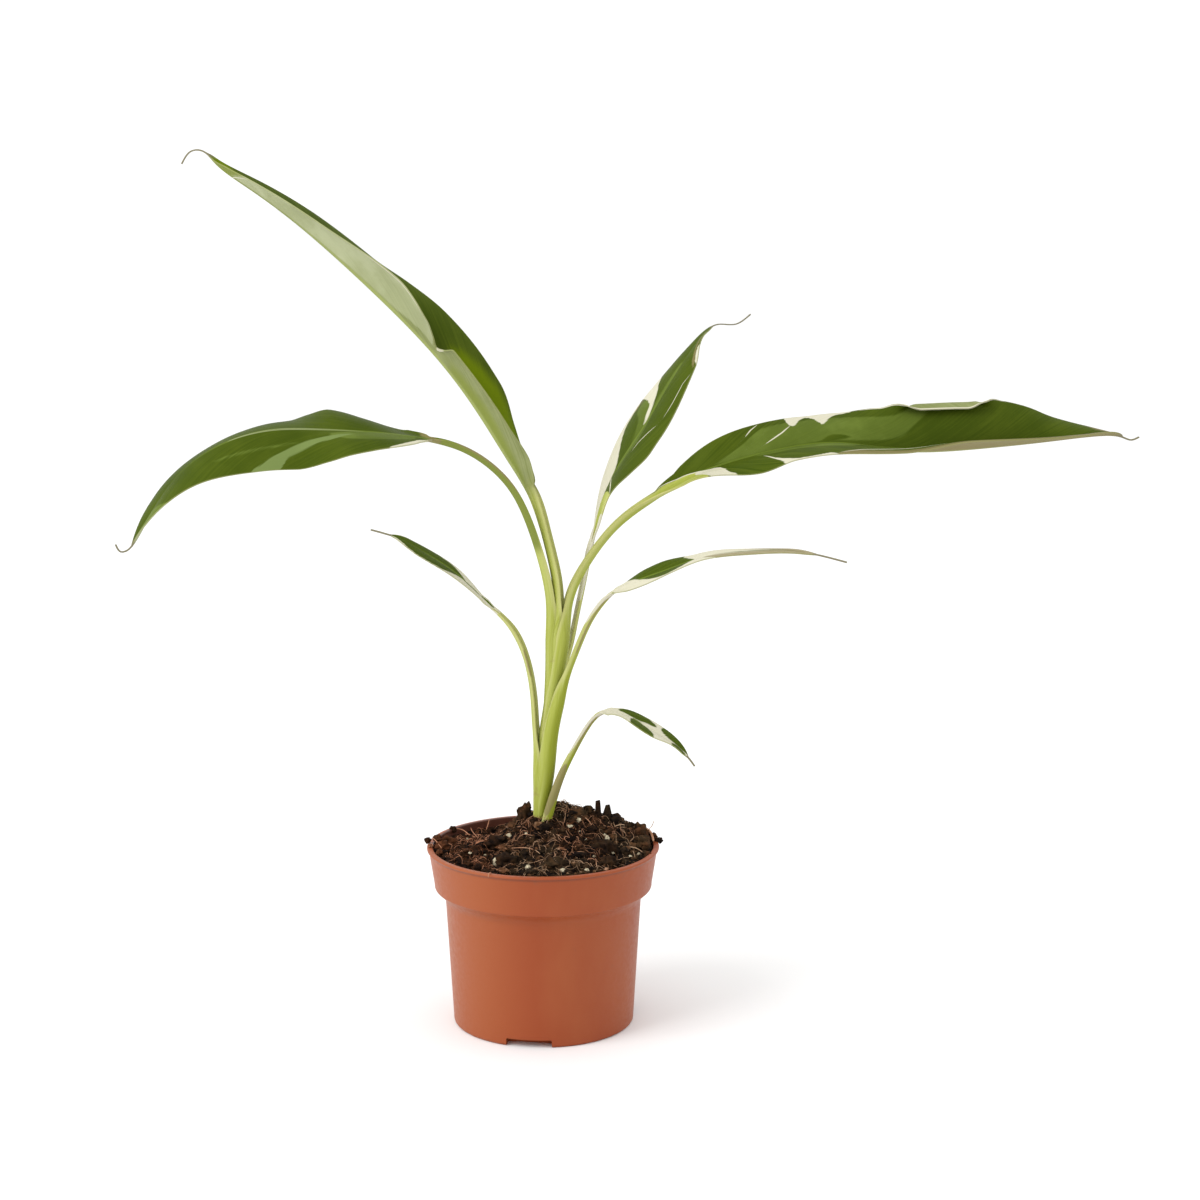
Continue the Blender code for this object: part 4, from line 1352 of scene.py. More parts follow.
UPRIGHT_RIGHT = LeafForm(
    name="leaf_upright_right",
    azimuth=30.0,
    sheath=((0.6, 1.4, 70.0, 1.2), (2.6, 2.2, 82.0, 1.2), (4.9, 3.2, 91.0, 1.0)),
    route=((7.1, 4.2, 97.75), (8.8, 4.6, 105.8), (10.6, 5.6, 114.4), (12.8, 6.8, 126.0),
           (15.5, 8.3, 136.3), (20.9, 12.0, 146.1), (26.3, 15.2, 154.0),
           (32.5, 18.7, 164.2), (39.7, 22.7, 174.4), (43.9, 25.0, 178.6),
           (47.1, 26.7, 178.9), (50.3, 28.5, 178.9), (53.9, 30.5, 181.2)),
    blade=(3, 9),
    stalk=((-0.5, 0.95), (-0.15, 0.9), (0.0, 1.15)),
    half_width=9.3,
    peak=0.5,
    fullness=0.9,
    left_rise=((0.0, -28.0), (0.1, -22.0), (0.5, -4.0), (0.8, -12.0), (1.0, -10.0)),
    right_rise=((0.0, 8.0), (0.16, 17.0), (0.28, 3.0), (0.4, -4.0), (0.8, -5.0), (0.93, 22.0),
                (1.0, 0.0)),
    left_trim=((0.3, 1.0), (0.45, 1.08), (0.8, 1.13), (0.93, 1.0)),
    right_trim=((0.2, 1.0), (0.34, 1.08), (0.46, 1.0)),
    vein_lead=41.0,
    marks=UPRIGHT_RIGHT_MARKS)

BROAD_RIGHT = LeafForm(
    name="leaf_broad_right",
    azimuth=10.0,
    sheath=((0.6, 0.2, 70.0, 1.6), (2.4, -0.3, 84.0, 1.9), (4.4, -0.6, 96.0, 1.9),
            (5.9, -0.8, 105.0, 1.8)),
    route=((7.1, -0.8, 111.35), (8.9, -0.5, 116.1), (12.7, 0.2, 122.4), (18.2, 1.3, 129.2),
           (23.6, 2.4, 133.7), (29.5, 3.4, 137.6), (36.3, 4.6, 141.3), (48.5, 6.8, 145.6),
           (61.6, 9.2, 148.5), (75.3, 11.7, 149.6), (91.8, 14.6, 147.5),
           (112.9, 18.4, 147.6), (131.5, 21.8, 149.0), (146.3, 24.4, 150.2),
           (150.9, 25.3, 149.6), (153.4, 25.7, 148.8), (155.5, 26.1, 149.5)),
    blade=(5, 14),
    stalk=((-0.28, 1.7), (-0.15, 1.45), (0.0, 1.6)),
    half_width=12.7,
    peak=0.55,
    fullness=0.62,
    left_rise=((0.0, -2.0), (0.07, 38.0), (0.15, 60.0), (0.24, 47.0), (0.3, 39.0),
               (0.35, 34.0), (0.4, 36.0), (0.47, 50.0), (0.52, 56.0), (0.6, 61.0),
               (0.73, 68.0), (0.8, 60.0), (0.87, 40.0), (0.93, 24.0), (1.0, 10.0)),
    right_rise=((0.0, -15.0), (0.07, 0.0), (0.2, -24.0), (0.28, -10.0), (0.4, -5.0),
                (0.5, 3.0), (0.65, 17.0), (0.9, 12.0), (1.0, 22.0)),
    left_trim=((0.48, 0.99), (0.52, 1.02), (0.565, 1.21), (0.69, 1.24), (0.72, 1.11),
               (0.76, 1.12), (0.82, 1.08), (0.88, 1.0)),
    left_roll=((0.48, 0.0), (0.57, 170.0), (0.67, 170.0), (0.76, 0.0)),
    vein_lead=25.0,
    thread=0.4,
    marks=BROAD_RIGHT_MARKS)

SLENDER_RIGHT = LeafForm(
    name="leaf_slender_right",
    azimuth=340.0,
    sheath=((-0.8, -0.9, 47.0, 1.3), (-0.3, -1.0, 56.0, 1.6), (0.9, -1.3, 66.0, 2.1),
            (2.1, -2.0, 76.0, 1.9), (4.4, -3.0, 86.0, 1.6)),
    route=((7.7, -4.5, 95.7), (9.6, -5.2, 100.7), (12.4, -6.3, 107.1), (15.4, -7.2, 111.7),
           (18.1, -8.0, 114.6), (22.6, -9.5, 117.2), (31.6, -12.7, 121.0),
           (41.0, -16.0, 125.0), (50.7, -19.3, 126.8), (60.3, -22.7, 127.6),
           (67.3, -25.2, 127.0), (71.9, -26.8, 126.1), (74.6, -27.7, 125.5)),
    blade=(4, 10),
    stalk=((-0.35, 1.1), (0.0, 1.0)),
    half_width=4.0,
    peak=0.33,
    fullness=0.85,
    left_rise=((0.0, 7.0), (0.17, 32.0), (0.25, 36.0), (0.42, 15.0), (0.8, 2.0), (1.0, 22.0)),
    right_rise=((0.0, -12.0), (0.08, -28.0), (0.33, -10.0), (0.5, -5.0), (0.9, -17.0),
                (1.0, -30.0)),
    vein_lead=20.0,
    marks=SLENDER_RIGHT_MARKS)

LOW_RIGHT = LeafForm(
    name="leaf_low_right",
    azimuth=340.0,
    sheath=(),
    route=((0.5, -2.9, 48.0), (1.4, -3.1, 54.0), (3.1, -3.3, 60.5), (5.2, -3.6, 66.5),
           (8.0, -4.4, 72.5), (11.5, -5.5, 79.0), (13.7, -6.2, 82.0), (15.9, -6.8, 83.4),
           (19.9, -8.1, 83.4), (25.3, -9.9, 80.9), (32.4, -12.3, 77.0), (36.7, -13.7, 73.5),
           (38.5, -14.3, 71.2)),
    blade=(7, 11),
    stalk=((-1.8, 1.9), (-1.1, 1.55), (-0.7, 1.2), (-0.35, 0.95), (0.0, 0.85)),
    half_width=3.8,
    peak=0.5,
    fullness=0.75,
    left_rise=((0.0, 39.0), (0.1, 14.0), (0.6, 14.0), (1.0, 18.0)),
    right_rise=((0.0, -35.0), (0.1, -4.0), (0.25, 4.0), (0.6, -1.0), (0.85, 13.0), (1.0, 2.0)),
    vein_lead=12.0,
    marks=LOW_RIGHT_MARKS)

LEAF_FORMS = (TALL_LEFT, DROOPING_LEFT, SLENDER_LEFT, UPRIGHT_RIGHT, BROAD_RIGHT, SLENDER_RIGHT,
              LOW_RIGHT)


class Stencil:
    """Carries a leaf's marks to its mesh as distances in millimetres.

    A distance is positive inside a mark, so a material finds the mark's edge between the
    points of the mesh.
    """

    far = 9.0
    streak_reach = 1.6
    corner_cut = 0.2

    def __init__(self, sheet: LeafSheet, mesh: bpy.types.Mesh) -> None:
        """Read where the mesh's points lie on the leaf.

        Args:
            sheet: the leaf's surface.
            mesh: the mesh with its "station" and "across" attributes.
        """
        self.mesh = mesh
        self.marks = sheet.form.marks
        length = sheet.blade_end - sheet.blade_start
        self.scale = np.array((length, sheet.form.half_width))
        self.places = np.stack((self.read("station"), self.read("across")), axis=1) * self.scale

    def read(self, name: str) -> np.ndarray:
        """Read an attribute.

        Args:
            name: its name.

        Returns:
            Its value at each point.
        """
        values = np.zeros(len(self.mesh.vertices), np.float32)
        self.mesh.attributes[name].data.foreach_get("value", values)
        return values

    def write(self, name: str, values: np.ndarray) -> None:
        """Add an attribute."""
        layer = self.mesh.attributes.new(name, "FLOAT", "POINT")
        layer.data.foreach_set("value", values.astype(np.float32))

    def from_edge(self, start: np.ndarray, end: np.ndarray) -> tuple[np.ndarray, np.ndarray]:
        """Measure the points from a straight line.

        Args:
            start: the line's first end.
            end: its last end.

        Returns:
            The distance of each point, and the part of the line, 0 to 1, that it is nearest to.
        """
        run = end - start
        part = np.clip((self.places - start) @ run / max(1e-9, float(run @ run)), 0.0, 1.0)
        away = self.places - start - part[:, None] * run
        return np.hypot(away[:, 0], away[:, 1]), part

    def inside(self, outline: Outline) -> np.ndarray:
        """Measure how far each point lies inside an outline with its corners cut.

        Args:
            outline: the outline.

        Returns:
            The distance of each point from the outline, negative outside it.
        """
        given = np.array(outline)
        ahead = np.roll(given, -1, axis=0)
        cut = self.corner_cut
        kept = 1.0 - cut
        corners = np.stack((kept * given + cut * ahead, cut * given + kept * ahead), 1)
        corners = corners.reshape(-1, 2) * self.scale
        nearest = np.full(len(self.places), self.far)
        within = np.zeros(len(self.places), bool)
        x, y = self.places.T
        for start, end in zip(corners, np.roll(corners, -1, axis=0)):
            nearest = np.minimum(nearest, self.from_edge(start, end)[0])
            straddles = (start[1] > y) != (end[1] > y)
            rise = (end[1] - start[1]) or 1.0
            within ^= straddles & (x < start[0] + (y - start[1]) * (end[0] - start[0]) / rise)
        return np.where(within, nearest, -nearest)

    def beside(self, streak: Streak) -> tuple[np.ndarray, np.ndarray]:
        """Measure the points from a streak.

        Args:
            streak: the streak.

        Returns:
            The distance of each point, negative on the streak's right, and the streak's half
            width there, which runs out to nothing at its ends and far from it.
        """
        route = np.array(streak.route) * self.scale
        lengths = np.r_[0.0, np.cumsum(np.hypot(*np.diff(route, axis=0).T))]
        offset = np.full(len(self.places), self.far)
        along = np.zeros(len(self.places))
        for start, end, done, total in zip(route, route[1:], lengths, lengths[1:]):
            distance, part = self.from_edge(start, end)
            run = end - start
            away = self.places - start
            turn = run[0] * away[:, 1] - run[1] * away[:, 0]
            nearer = distance < np.abs(offset)
            offset = np.where(nearer, np.where(turn < 0.0, -distance, distance), offset)
            along = np.where(nearer, (done + part * (total - done)) / lengths[-1], along)
        half_width = streak.half_width * np.sqrt(np.sin(np.pi * np.clip(along, 0.0, 1.0)))
        return offset, np.where(np.abs(offset) < self.streak_reach, half_width, 0.0)

    def paint(self) -> None:
        """Write every kind of mark to the mesh."""
        for name in ("pale", "light", "lime", "bright", "cream", "green", "tan"):
            value = np.full(len(self.places), -self.far)
            for outline in getattr(self.marks, name):
                value = np.maximum(value, self.inside(outline))
            self.write(name, value)
        offset = np.full(len(self.places), self.far)
        half_width = np.zeros(len(self.places))
        for streak in self.marks.streaks:
            distance, breadth = self.beside(streak)
            nearer = np.abs(distance) < np.abs(offset)
            offset = np.where(nearer, distance, offset)
            half_width = np.where(nearer, breadth, half_width)
        self.write("streak_offset", offset)
        self.write("streak_half_width", half_width)


@dataclass(frozen=True)
class StalkPaint:
    """The yellowish green of stalks and sheaths, striped along, pale-edged, with painted shade.

    Attributes:
        light: the palest stripes.
        lime: the stripes between.
        olive: the darkest stripes.
        shaded_green: painted shade, a deeper green right of the middle, strongest low down.
        cream: the margins.
        brown: the thin line at their very edge.
    """

    light: Colour = (0.42, 0.45, 0.13)
    lime: Colour = (0.345, 0.38, 0.07)
    olive: Colour = (0.275, 0.31, 0.04)
    shaded_green: Colour = (0.23, 0.265, 0.015)
    cream: Colour = (0.60, 0.57, 0.30)
    brown: Colour = (0.25, 0.15, 0.08)

    def colour(self, sketch: Sketch) -> Socket:
        """Mix the colour in a material.

        Args:
            sketch: the material.

        Returns:
            The colour.
        """
        leaf = sketch.surface_place("leaf")
        stripes = sketch.grain(sketch.stretch(leaf, (0.3, 7.0, 1.0)), 1.0)
        fine = sketch.grain(sketch.stretch(leaf, (1.0, 42.0, 1.0)), 1.0, 2.0)
        colour = sketch.ramp(sketch.blend(stripes, fine, 0.7), (
            (0.3, self.olive), (0.47, self.lime), (0.62, self.light)))
        across = sketch.attribute("across")
        # Painted shade: a deeper green band right of the middle, on the side away from the light,
        # stronger low on the stem.
        shaded_green = sketch.times(sketch.spread(across, -0.15, 0.1),
                            sketch.spread(across, 0.35, 0.6, 1.0, 0.0))
        height = sketch.axis(sketch.object_place(), "Z")
        low = sketch.spread(height, 85.0 * MM, 112.0 * MM, 0.8, 0.2)
        colour = sketch.mix(sketch.times(shaded_green, low), colour, self.shaded_green)
        edge = sketch.attribute("edge")
        colour = sketch.mix(sketch.spread(edge, 0.2, 1.0, 0.35, 0.0), colour, self.cream)
        return sketch.mix(sketch.spread(edge, 0.02, 0.15, 0.15, 0.0), colour, self.brown)


class LeafSketch(Sketch):
    """A leaf material under construction, with the grains that its colours share.

    Attributes:
        leaf: the coordinate along the veins and across the blade, in centimetres.
        veins: broad streaks along the veins, 0 to 1.
        threads: fine streaks along them, 0 to 1.
        cloud: soft blotches, 0 to 1.
        station: the place along the blade.
        fray: how far the veins push an edge in or out, in millimetres.
    """

    def __init__(self, name: str) -> None:
        """Start the material with its grains.

        Args:
            name: the material's name.
        """
        super().__init__(name)
        self.leaf = self.surface_place("leaf")
        self.veins = self.grain(self.stretch(self.leaf, (11.0, 0.9, 1.0)), 1.0, 2.0)
        self.threads = self.grain(self.stretch(self.leaf, (44.0, 1.6, 1.0)), 1.0, 2.0)
        self.cloud = self.grain(self.object_place(), 75.0, 5.0)
        self.station = self.attribute("station")
        self.fray = self.spread(self.veins, 0.25, 0.75, -0.4, 0.4)

    def mark(self, name: str, soft: float, fraying: float = 0.5) -> Socket:
        """Find one kind of mark.

        Args:
            name: the mark's attribute.
            soft: half the width of its edge in millimetres.
            fraying: how much of the veins' push its edge takes.

        Returns:
            The mask, 1 inside the mark.
        """
        push = self.times(self.fray, fraying)
        return self.spread(self.plus(self.attribute(name), push), -soft, soft)

    def streaks(self) -> Socket:
        """Find the thin streaks.

        Returns:
            The mask, 1 inside a streak.
        """
        aside = self.combine("ABSOLUTE", self.attribute("streak_offset"))
        inside = self.combine("SUBTRACT", self.attribute("streak_half_width"), aside)
        return self.spread(inside, -0.06, 0.08)


@dataclass(frozen=True)
class LeafSkin:
    """One side of the leaves, coloured by the marks that each mesh carries.

    Attributes:
        name: the material's name.
        deep: the darker green between the veins.
        fresh: the lighter green along them.
        pale: the paler areas.
        patch: the green of the dark patches.
        cream: the areas without green.
        cream_shade: the green tinge of their veins.
        tan: the pinkish and dry areas.
        tan_reach: how far they reach in from the margin, in millimetres.
        bright: the yellowish green of painted light coming through the leaf.
        light: the crisp lighter bands.
        rib: the midrib.
        rib_half_width: half the midrib's width in centimetres.
        rim: the thin line along the blade's margin.
        thread: the dry thread at the tip.
        roughness: the roughness.
        specular: the specular level.
    """

    name: str
    deep: Colour
    fresh: Colour
    pale: Colour
    patch: Colour
    tan: Colour
    tan_reach: float
    bright: Colour
    light: Colour
    rib: Colour
    rib_half_width: float
    roughness: float
    specular: float
    cream: Colour = (0.58, 0.555, 0.43)
    cream_shade: Colour = (0.47, 0.48, 0.28)
    rim: Colour = (0.26, 0.27, 0.10)
    thread: Colour = (0.20, 0.18, 0.11)

    def ground(self, sketch: LeafSketch) -> Socket:
        """Mix the greens that the other marks lie on.

        Args:
            sketch: the material.

        Returns:
            The colour.
        """
        tone = sketch.spread(sketch.blend(sketch.veins, sketch.cloud, 0.5), 0.36, 0.64)
        colour = sketch.mix(tone, self.deep, self.fresh)
        streaky = sketch.times(sketch.spread(sketch.threads, 0.3, 0.75, 1.0, 0.7),
                               sketch.spread(sketch.cloud, 0.4, 0.6, 0.6, 1.0))
        pale = sketch.times(sketch.mark("pale", 0.4), streaky)
        colour = sketch.mix(pale, colour, self.pale)
        return sketch.mix(sketch.mark("light", 0.2), colour, self.light)

    def dried(self, sketch: LeafSketch) -> Socket:
        """Find the pinkish and dry areas.

        Args:
            sketch: the material.

        Returns:
            Their mask, streaked along the veins and ending inside the margin.
        """
        streaked = sketch.times(sketch.mark("tan", 0.35),
                                sketch.spread(sketch.threads, 0.3, 0.7, 0.95, 0.6))
        reach = self.tan_reach
        from_edge = sketch.plus(sketch.attribute("edge"), sketch.fray)
        return sketch.times(streaked, sketch.spread(from_edge, 0.5 * reach, reach, 1.0, 0.0))

    def midrib(self, sketch: LeafSketch) -> Socket:
        """Find the midrib.

        Args:
            sketch: the material.

        Returns:
            Its mask, fading out towards the tip.
        """
        aside = sketch.combine("ABSOLUTE", sketch.axis(sketch.leaf, "Y"))
        width = self.rib_half_width
        return sketch.times(sketch.spread(aside, 0.6 * width, 1.4 * width, 1.0, 0.0),
                            sketch.spread(sketch.station, 0.45, 0.9, 0.85, 0.0))

    def build(self) -> bpy.types.Material:
        """Mix the material.

        Returns:
            The material.
        """
        sketch = LeafSketch(self.name)
        stalked = sketch.higher(sketch.spread(sketch.station, -0.04, 0.03, 1.0, 0.0),
                                sketch.mark("lime", 0.2))
        colour = sketch.mix(stalked, self.ground(sketch), STALK.colour(sketch))
        # Painted glow: yellowish green where light comes through the leaf.
        colour = sketch.mix(sketch.mark("bright", 2.0, 1.0), colour, self.bright)
        milky = sketch.mix(sketch.spread(sketch.veins, 0.52, 0.72, 0.0, 0.7), self.cream,
                           self.cream_shade)
        cream = sketch.mark("cream", 0.16)
        colour = sketch.mix(cream, colour, milky)
        green = sketch.mix(sketch.spread(sketch.veins, 0.35, 0.65), self.patch, self.fresh)
        inked = sketch.mark("green", 0.22)
        colour = sketch.mix(inked, colour, green)
        colour = sketch.mix(self.dried(sketch), colour, self.tan)
        colour = sketch.mix(sketch.streaks(), colour, self.cream)
        blade = sketch.outside(stalked)
        bare = sketch.times(sketch.higher(inked, sketch.outside(cream)), blade)
        colour = sketch.mix(sketch.times(self.midrib(sketch), bare), colour, self.rib)
        margin = sketch.spread(sketch.attribute("edge"), 0.05, 0.25, 0.45, 0.0)
        colour = sketch.mix(sketch.times(margin, blade), colour, self.rim)
        colour = sketch.mix(sketch.spread(sketch.station, 0.975, 1.0), colour, self.thread)
        gloss = sketch.spread(sketch.threads, 0.25, 0.75, self.roughness - 0.05,
                              self.roughness + 0.08)
        sketch.bump(sketch.blend(sketch.veins, sketch.threads, 0.6), 0.09, 0.5)
        return sketch.finish(colour, gloss, self.specular)


STALK = StalkPaint()
FACE = LeafSkin(
    name="leaf_face",
    deep=(0.046, 0.071, 0.004),
    fresh=(0.069, 0.098, 0.007),
    pale=(0.122, 0.168, 0.027),
    patch=(0.043, 0.070, 0.003),
    tan=(0.22, 0.18, 0.08),
    tan_reach=2.5,
    bright=(0.12, 0.17, 0.002),
    light=(0.165, 0.22, 0.065),
    rib=(0.13, 0.18, 0.025),
    rib_half_width=0.035,
    roughness=0.45,
    specular=0.03)
BACK = LeafSkin(
    name="leaf_back",
    deep=(0.19, 0.215, 0.075),
    fresh=(0.27, 0.295, 0.13),
    pale=(0.40, 0.425, 0.255),
    patch=(0.10, 0.13, 0.02),
    tan=(0.24, 0.195, 0.09),
    tan_reach=40.0,
    bright=(0.20, 0.235, 0.05),
    light=(0.33, 0.36, 0.20),
    rib=(0.30, 0.34, 0.11),
    rib_half_width=0.07,
    roughness=0.55,
    specular=0.05)


@dataclass(frozen=True)
class StemSkin:
    """The outside of the wrapped sheaths: the stalks' colours, scuffed, with an earthy heel.

    Attributes:
        scuff: the colour of the scuffed places.
        earth: the colour of the heel.
        heel: the height up to which soil clings to it.
        roughness: the roughness.
    """

    scuff: Colour = (0.25, 0.15, 0.08)
    earth: Colour = (0.05, 0.03, 0.02)
    heel: float = 57.0 * MM
    roughness: float = 0.45

    def build(self) -> bpy.types.Material:
        """Mix the material.

        Returns:
            The material.
        """
        sketch = Sketch("stem_green")
        place = sketch.object_place()
        ribs = sketch.grain(sketch.stretch(sketch.surface_place("leaf"), (0.5, 16.0, 1.0)), 1.0)
        patchy = sketch.grain(place, 260.0)
        scuffed = sketch.spread(patchy, 0.62, 0.75, 0.0, 0.3)
        colour = sketch.mix(scuffed, STALK.colour(sketch), self.scuff)
        height = sketch.plus(sketch.axis(place, "Z"), sketch.times(patchy, 5.0 * MM))
        dust_and_shade_inside = sketch.spread(height, self.heel - 3.0 * MM, self.heel, 0.8, 0.0)
        colour = sketch.mix(dust_and_shade_inside, colour, self.earth)
        gloss = sketch.spread(ribs, 0.25, 0.75, self.roughness - 0.06, self.roughness + 0.1)
        sketch.bump(ribs, 0.15, 0.5)
        return sketch.finish(colour, gloss, specular=0.08)


class Foliage:
    """All the leaves and the wrapped sheaths that they grow from."""

    def __init__(self) -> None:
        """Work out every leaf's surface."""
        self.sheets = [LeafSheet(form) for form in LEAF_FORMS]

    def leaf(self, sheet: LeafSheet, face: bpy.types.Material,
             back: bpy.types.Material) -> bpy.types.Object:
        """Make a leaf's stalk, blade and thread.

        Args:
            sheet: the leaf's surface.
            face: the material of its upper side.
            back: the material of its underside.

        Returns:
            The finished piece.
        """
        span = SheetSpan(sheet, sheet.stalk_ring(), len(sheet.line.lengths) - 1)
        name = f"{sheet.form.name}_blade"
        made = new_object(name, span.lay(name))
        Stencil(sheet, made.data).paint()
        thicken(made, sheet.deepest(), face, back)
        return put_on(made, Slot.LEAF, sheet.form.name)

    def stem(self, skin: bpy.types.Material) -> bpy.types.Object:
        """Join the wrapped sheaths into the false stem.

        Args:
            skin: the material of both sides of the sheaths.

        Returns:
            The finished piece.
        """
        whole = bmesh.new()
        deepest = 0.0
        for sheet in self.sheets:
            if not sheet.form.sheath:
                continue
            part = SheetSpan(sheet, 0, sheet.stalk_ring()).lay("sheath")
            deepest = max(deepest, sheet.deepest())
            whole.from_mesh(part)
            bpy.data.meshes.remove(part)
        stem = new_object("stem_sheaths", mesh_of(whole, "stem_sheaths"))
        thicken(stem, deepest, skin, skin)
        return put_on(stem, Slot.STEM, "pseudostem")

    def build(self, face: bpy.types.Material, back: bpy.types.Material,
              skin: bpy.types.Material) -> None:
        """Make the stem and every leaf.

        Args:
            face: the material of the leaves' upper sides.
            back: the material of their undersides.
            skin: the material of the stem.
        """
        self.stem(skin)
        for sheet in self.sheets:
            self.leaf(sheet, face, back)


# Soil

@dataclass(frozen=True)
class Swell:
    """A round rise or hollow of the soil: centre, height and reach in plan."""

    x: float
    y: float
    height: float
    reach: float


@dataclass(frozen=True)
class Lump:
    """A rough rounded piece of the mix.

    Attributes:
        x: its place in plan.
        y: its place in plan.
        lift: how far its centre stands above the soil's surface.
        half_x: its half size along X, before its turn.
        half_y: the same along Y.
        half_z: the same along Z.
        turn: its turn about Z in degrees.
        tone: its brightness, 0 near black to 1 tan.
    """

    x: float
    y: float
    lift: float
    half_x: float
    half_y: float
    half_z: float
    turn: float = 0.0
    tone: float = 0.3


@dataclass(frozen=True)
class Splinter:
    """A splinter of bark: foot in plan, radius, height, depth of its foot, lean and bluntness."""

    x: float
    y: float
    radius: float
    height: float
    sunk: float
    lean: float
    blunt: float = 0.4


CLODS = (
    Lump(-4.6, 2.4, 1.2, 1.9, 1.8, 3.3, 20.0, 0.3),
    Lump(-6.4, 3.4, 0.5, 1.2, 1.4, 1.7, 50.0, 0.34),
    Lump(-10.1, -8.9, 0.8, 1.0, 3.3, 0.4, 8.0, 0.62),
    Lump(-14.8, -4.7, 0.6, 2.4, 1.2, 0.5, 10.0, 0.85),
    Lump(-26.0, -3.0, 1.0, 1.7, 1.8, 1.6, 20.0, 0.5),
    Lump(-24.8, 3.6, 0.4, 2.2, 2.0, 1.8, 50.0, 0.46),
    Lump(-12.0, -6.0, 0.3, 3.2, 2.4, 1.9, 15.0, 0.12),
    Lump(-9.0, -15.5, 0.3, 3.6, 2.8, 2.1, -30.0, 0.16),
    Lump(3.0, -20.5, 0.3, 3.0, 2.2, 1.9, 10.0, 0.24),
    Lump(8.2, 1.0, -1.1, 3.4, 2.8, 1.7, 35.0, 0.4),
    Lump(15.0, -9.0, 0.3, 3.8, 3.0, 2.2, -20.0, 0.18),
    Lump(24.6, 3.6, -0.3, 2.7, 2.9, 2.3, 25.0, 0.4),
    Lump(25.6, -2.4, 0.6, 1.9, 2.4, 2.0, -10.0, 0.38),
    Lump(17.5, 13.0, 0.3, 3.6, 3.2, 2.2, 60.0, 0.2),
    Lump(-3.0, 15.0, 0.3, 3.2, 2.8, 1.9, 5.0, 0.3),
    Lump(17.0, -17.0, 0.3, 2.6, 2.0, 1.7, -45.0, 0.2),
)
RIM_CLODS = (
    Lump(-27.4, 1.6, 2.3, 1.1, 1.3, 1.0, 10.0, 0.42),
    Lump(-29.9, 1.2, 2.2, 0.85, 0.8, 0.8, 0.0, 0.2),
    Lump(-28.9, -2.2, 1.5, 0.75, 0.6, 0.5, 40.0, 0.75),
    Lump(-24.2, 15.4, 1.3, 1.0, 0.9, 0.9, 0.0, 0.2),
    Lump(-26.4, -7.4, 0.9, 1.1, 0.9, 0.8, 70.0, 0.45),
    Lump(26.9, -7.6, 0.6, 1.0, 1.1, 0.8, 10.0, 0.4),
    Lump(28.3, 4.6, 1.7, 1.2, 1.5, 1.1, 0.0, 0.42),
    Lump(30.2, 3.2, 2.1, 0.9, 0.8, 0.75, 30.0, 0.08),
    Lump(22.6, 1.6, 1.0, 0.8, 0.7, 0.9, 0.0, 0.14),
)
PERLITE = (
    Lump(-11.4, -16.6, 0.7, 1.15, 1.0, 1.1, 10.0),
    Lump(-9.1, -14.3, 0.9, 0.5, 0.45, 0.5),
    Lump(-3.3, -22.0, 0.4, 0.75, 0.7, 0.75, 30.0),
    Lump(-8.7, -3.2, 0.4, 0.8, 0.7, 0.6, 20.0),
    Lump(-4.2, -6.5, 0.3, 0.42, 0.4, 0.42),
    Lump(-14.5, -11.5, 0.3, 0.32, 0.3, 0.36),
    Lump(8.9, -2.1, 0.3, 0.95, 0.7, 0.62, -30.0),
    Lump(6.9, -4.8, 0.2, 0.8, 0.6, 0.5, 15.0),
    Lump(9.4, -5.4, 0.2, 0.32, 0.3, 0.3),
    Lump(15.0, -2.5, 0.5, 0.5, 0.4, 0.5),
    Lump(15.8, -3.2, 0.6, 0.62, 0.5, 0.5),
    Lump(16.5, -4.7, 0.6, 0.6, 0.5, 0.8, 40.0),
    Lump(15.0, -6.3, 0.5, 0.55, 0.5, 0.5),
    Lump(10.9, -7.2, 0.3, 0.4, 0.35, 0.35),
    Lump(5.4, -23.6, 0.5, 0.72, 0.6, 0.62),
    Lump(11.4, -22.2, 0.4, 0.6, 0.5, 0.42),
    Lump(3.1, -18.9, 0.3, 0.32, 0.3, 0.32),
    Lump(13.2, -14.7, 0.3, 0.42, 0.3, 0.3),
    Lump(18.0, -10.5, 0.3, 0.35, 0.3, 0.35),
    Lump(22.3, -9.9, 0.5, 0.55, 0.4, 0.4),
    Lump(-18.3, -11.6, 0.4, 0.5, 0.4, 0.3),
    Lump(-26.3, -2.4, 1.5, 0.4, 0.3, 0.3),
    Lump(-3.6, -23.6, 0.4, 0.25, 0.25, 0.25),
    Lump(-0.9, -24.6, 0.4, 0.28, 0.25, 0.25),
    Lump(24.6, -8.2, 0.5, 0.42, 0.3, 0.35),
    Lump(-12.0, 12.0, 0.3, 0.6, 0.5, 0.5),
    Lump(12.0, 19.0, 0.3, 0.9, 0.8, 0.8),
    Lump(-20.0, 8.0, 0.3, 0.4, 0.4, 0.4),
    Lump(4.0, 24.0, 0.3, 0.7, 0.7, 0.6),
)
SPLINTERS = (
    Splinter(14.2, 2.0, 1.0, 6.4, 1.5, -1.0, 0.65),
    Splinter(16.6, 3.2, 2.0, 5.4, 1.8, 3.0, 0.3),
    Splinter(24.0, 2.0, 0.6, 3.4, 1.0, 0.0),
    Splinter(-6.4, 9.0, 0.7, 3.0, 1.2, -10.0),
)
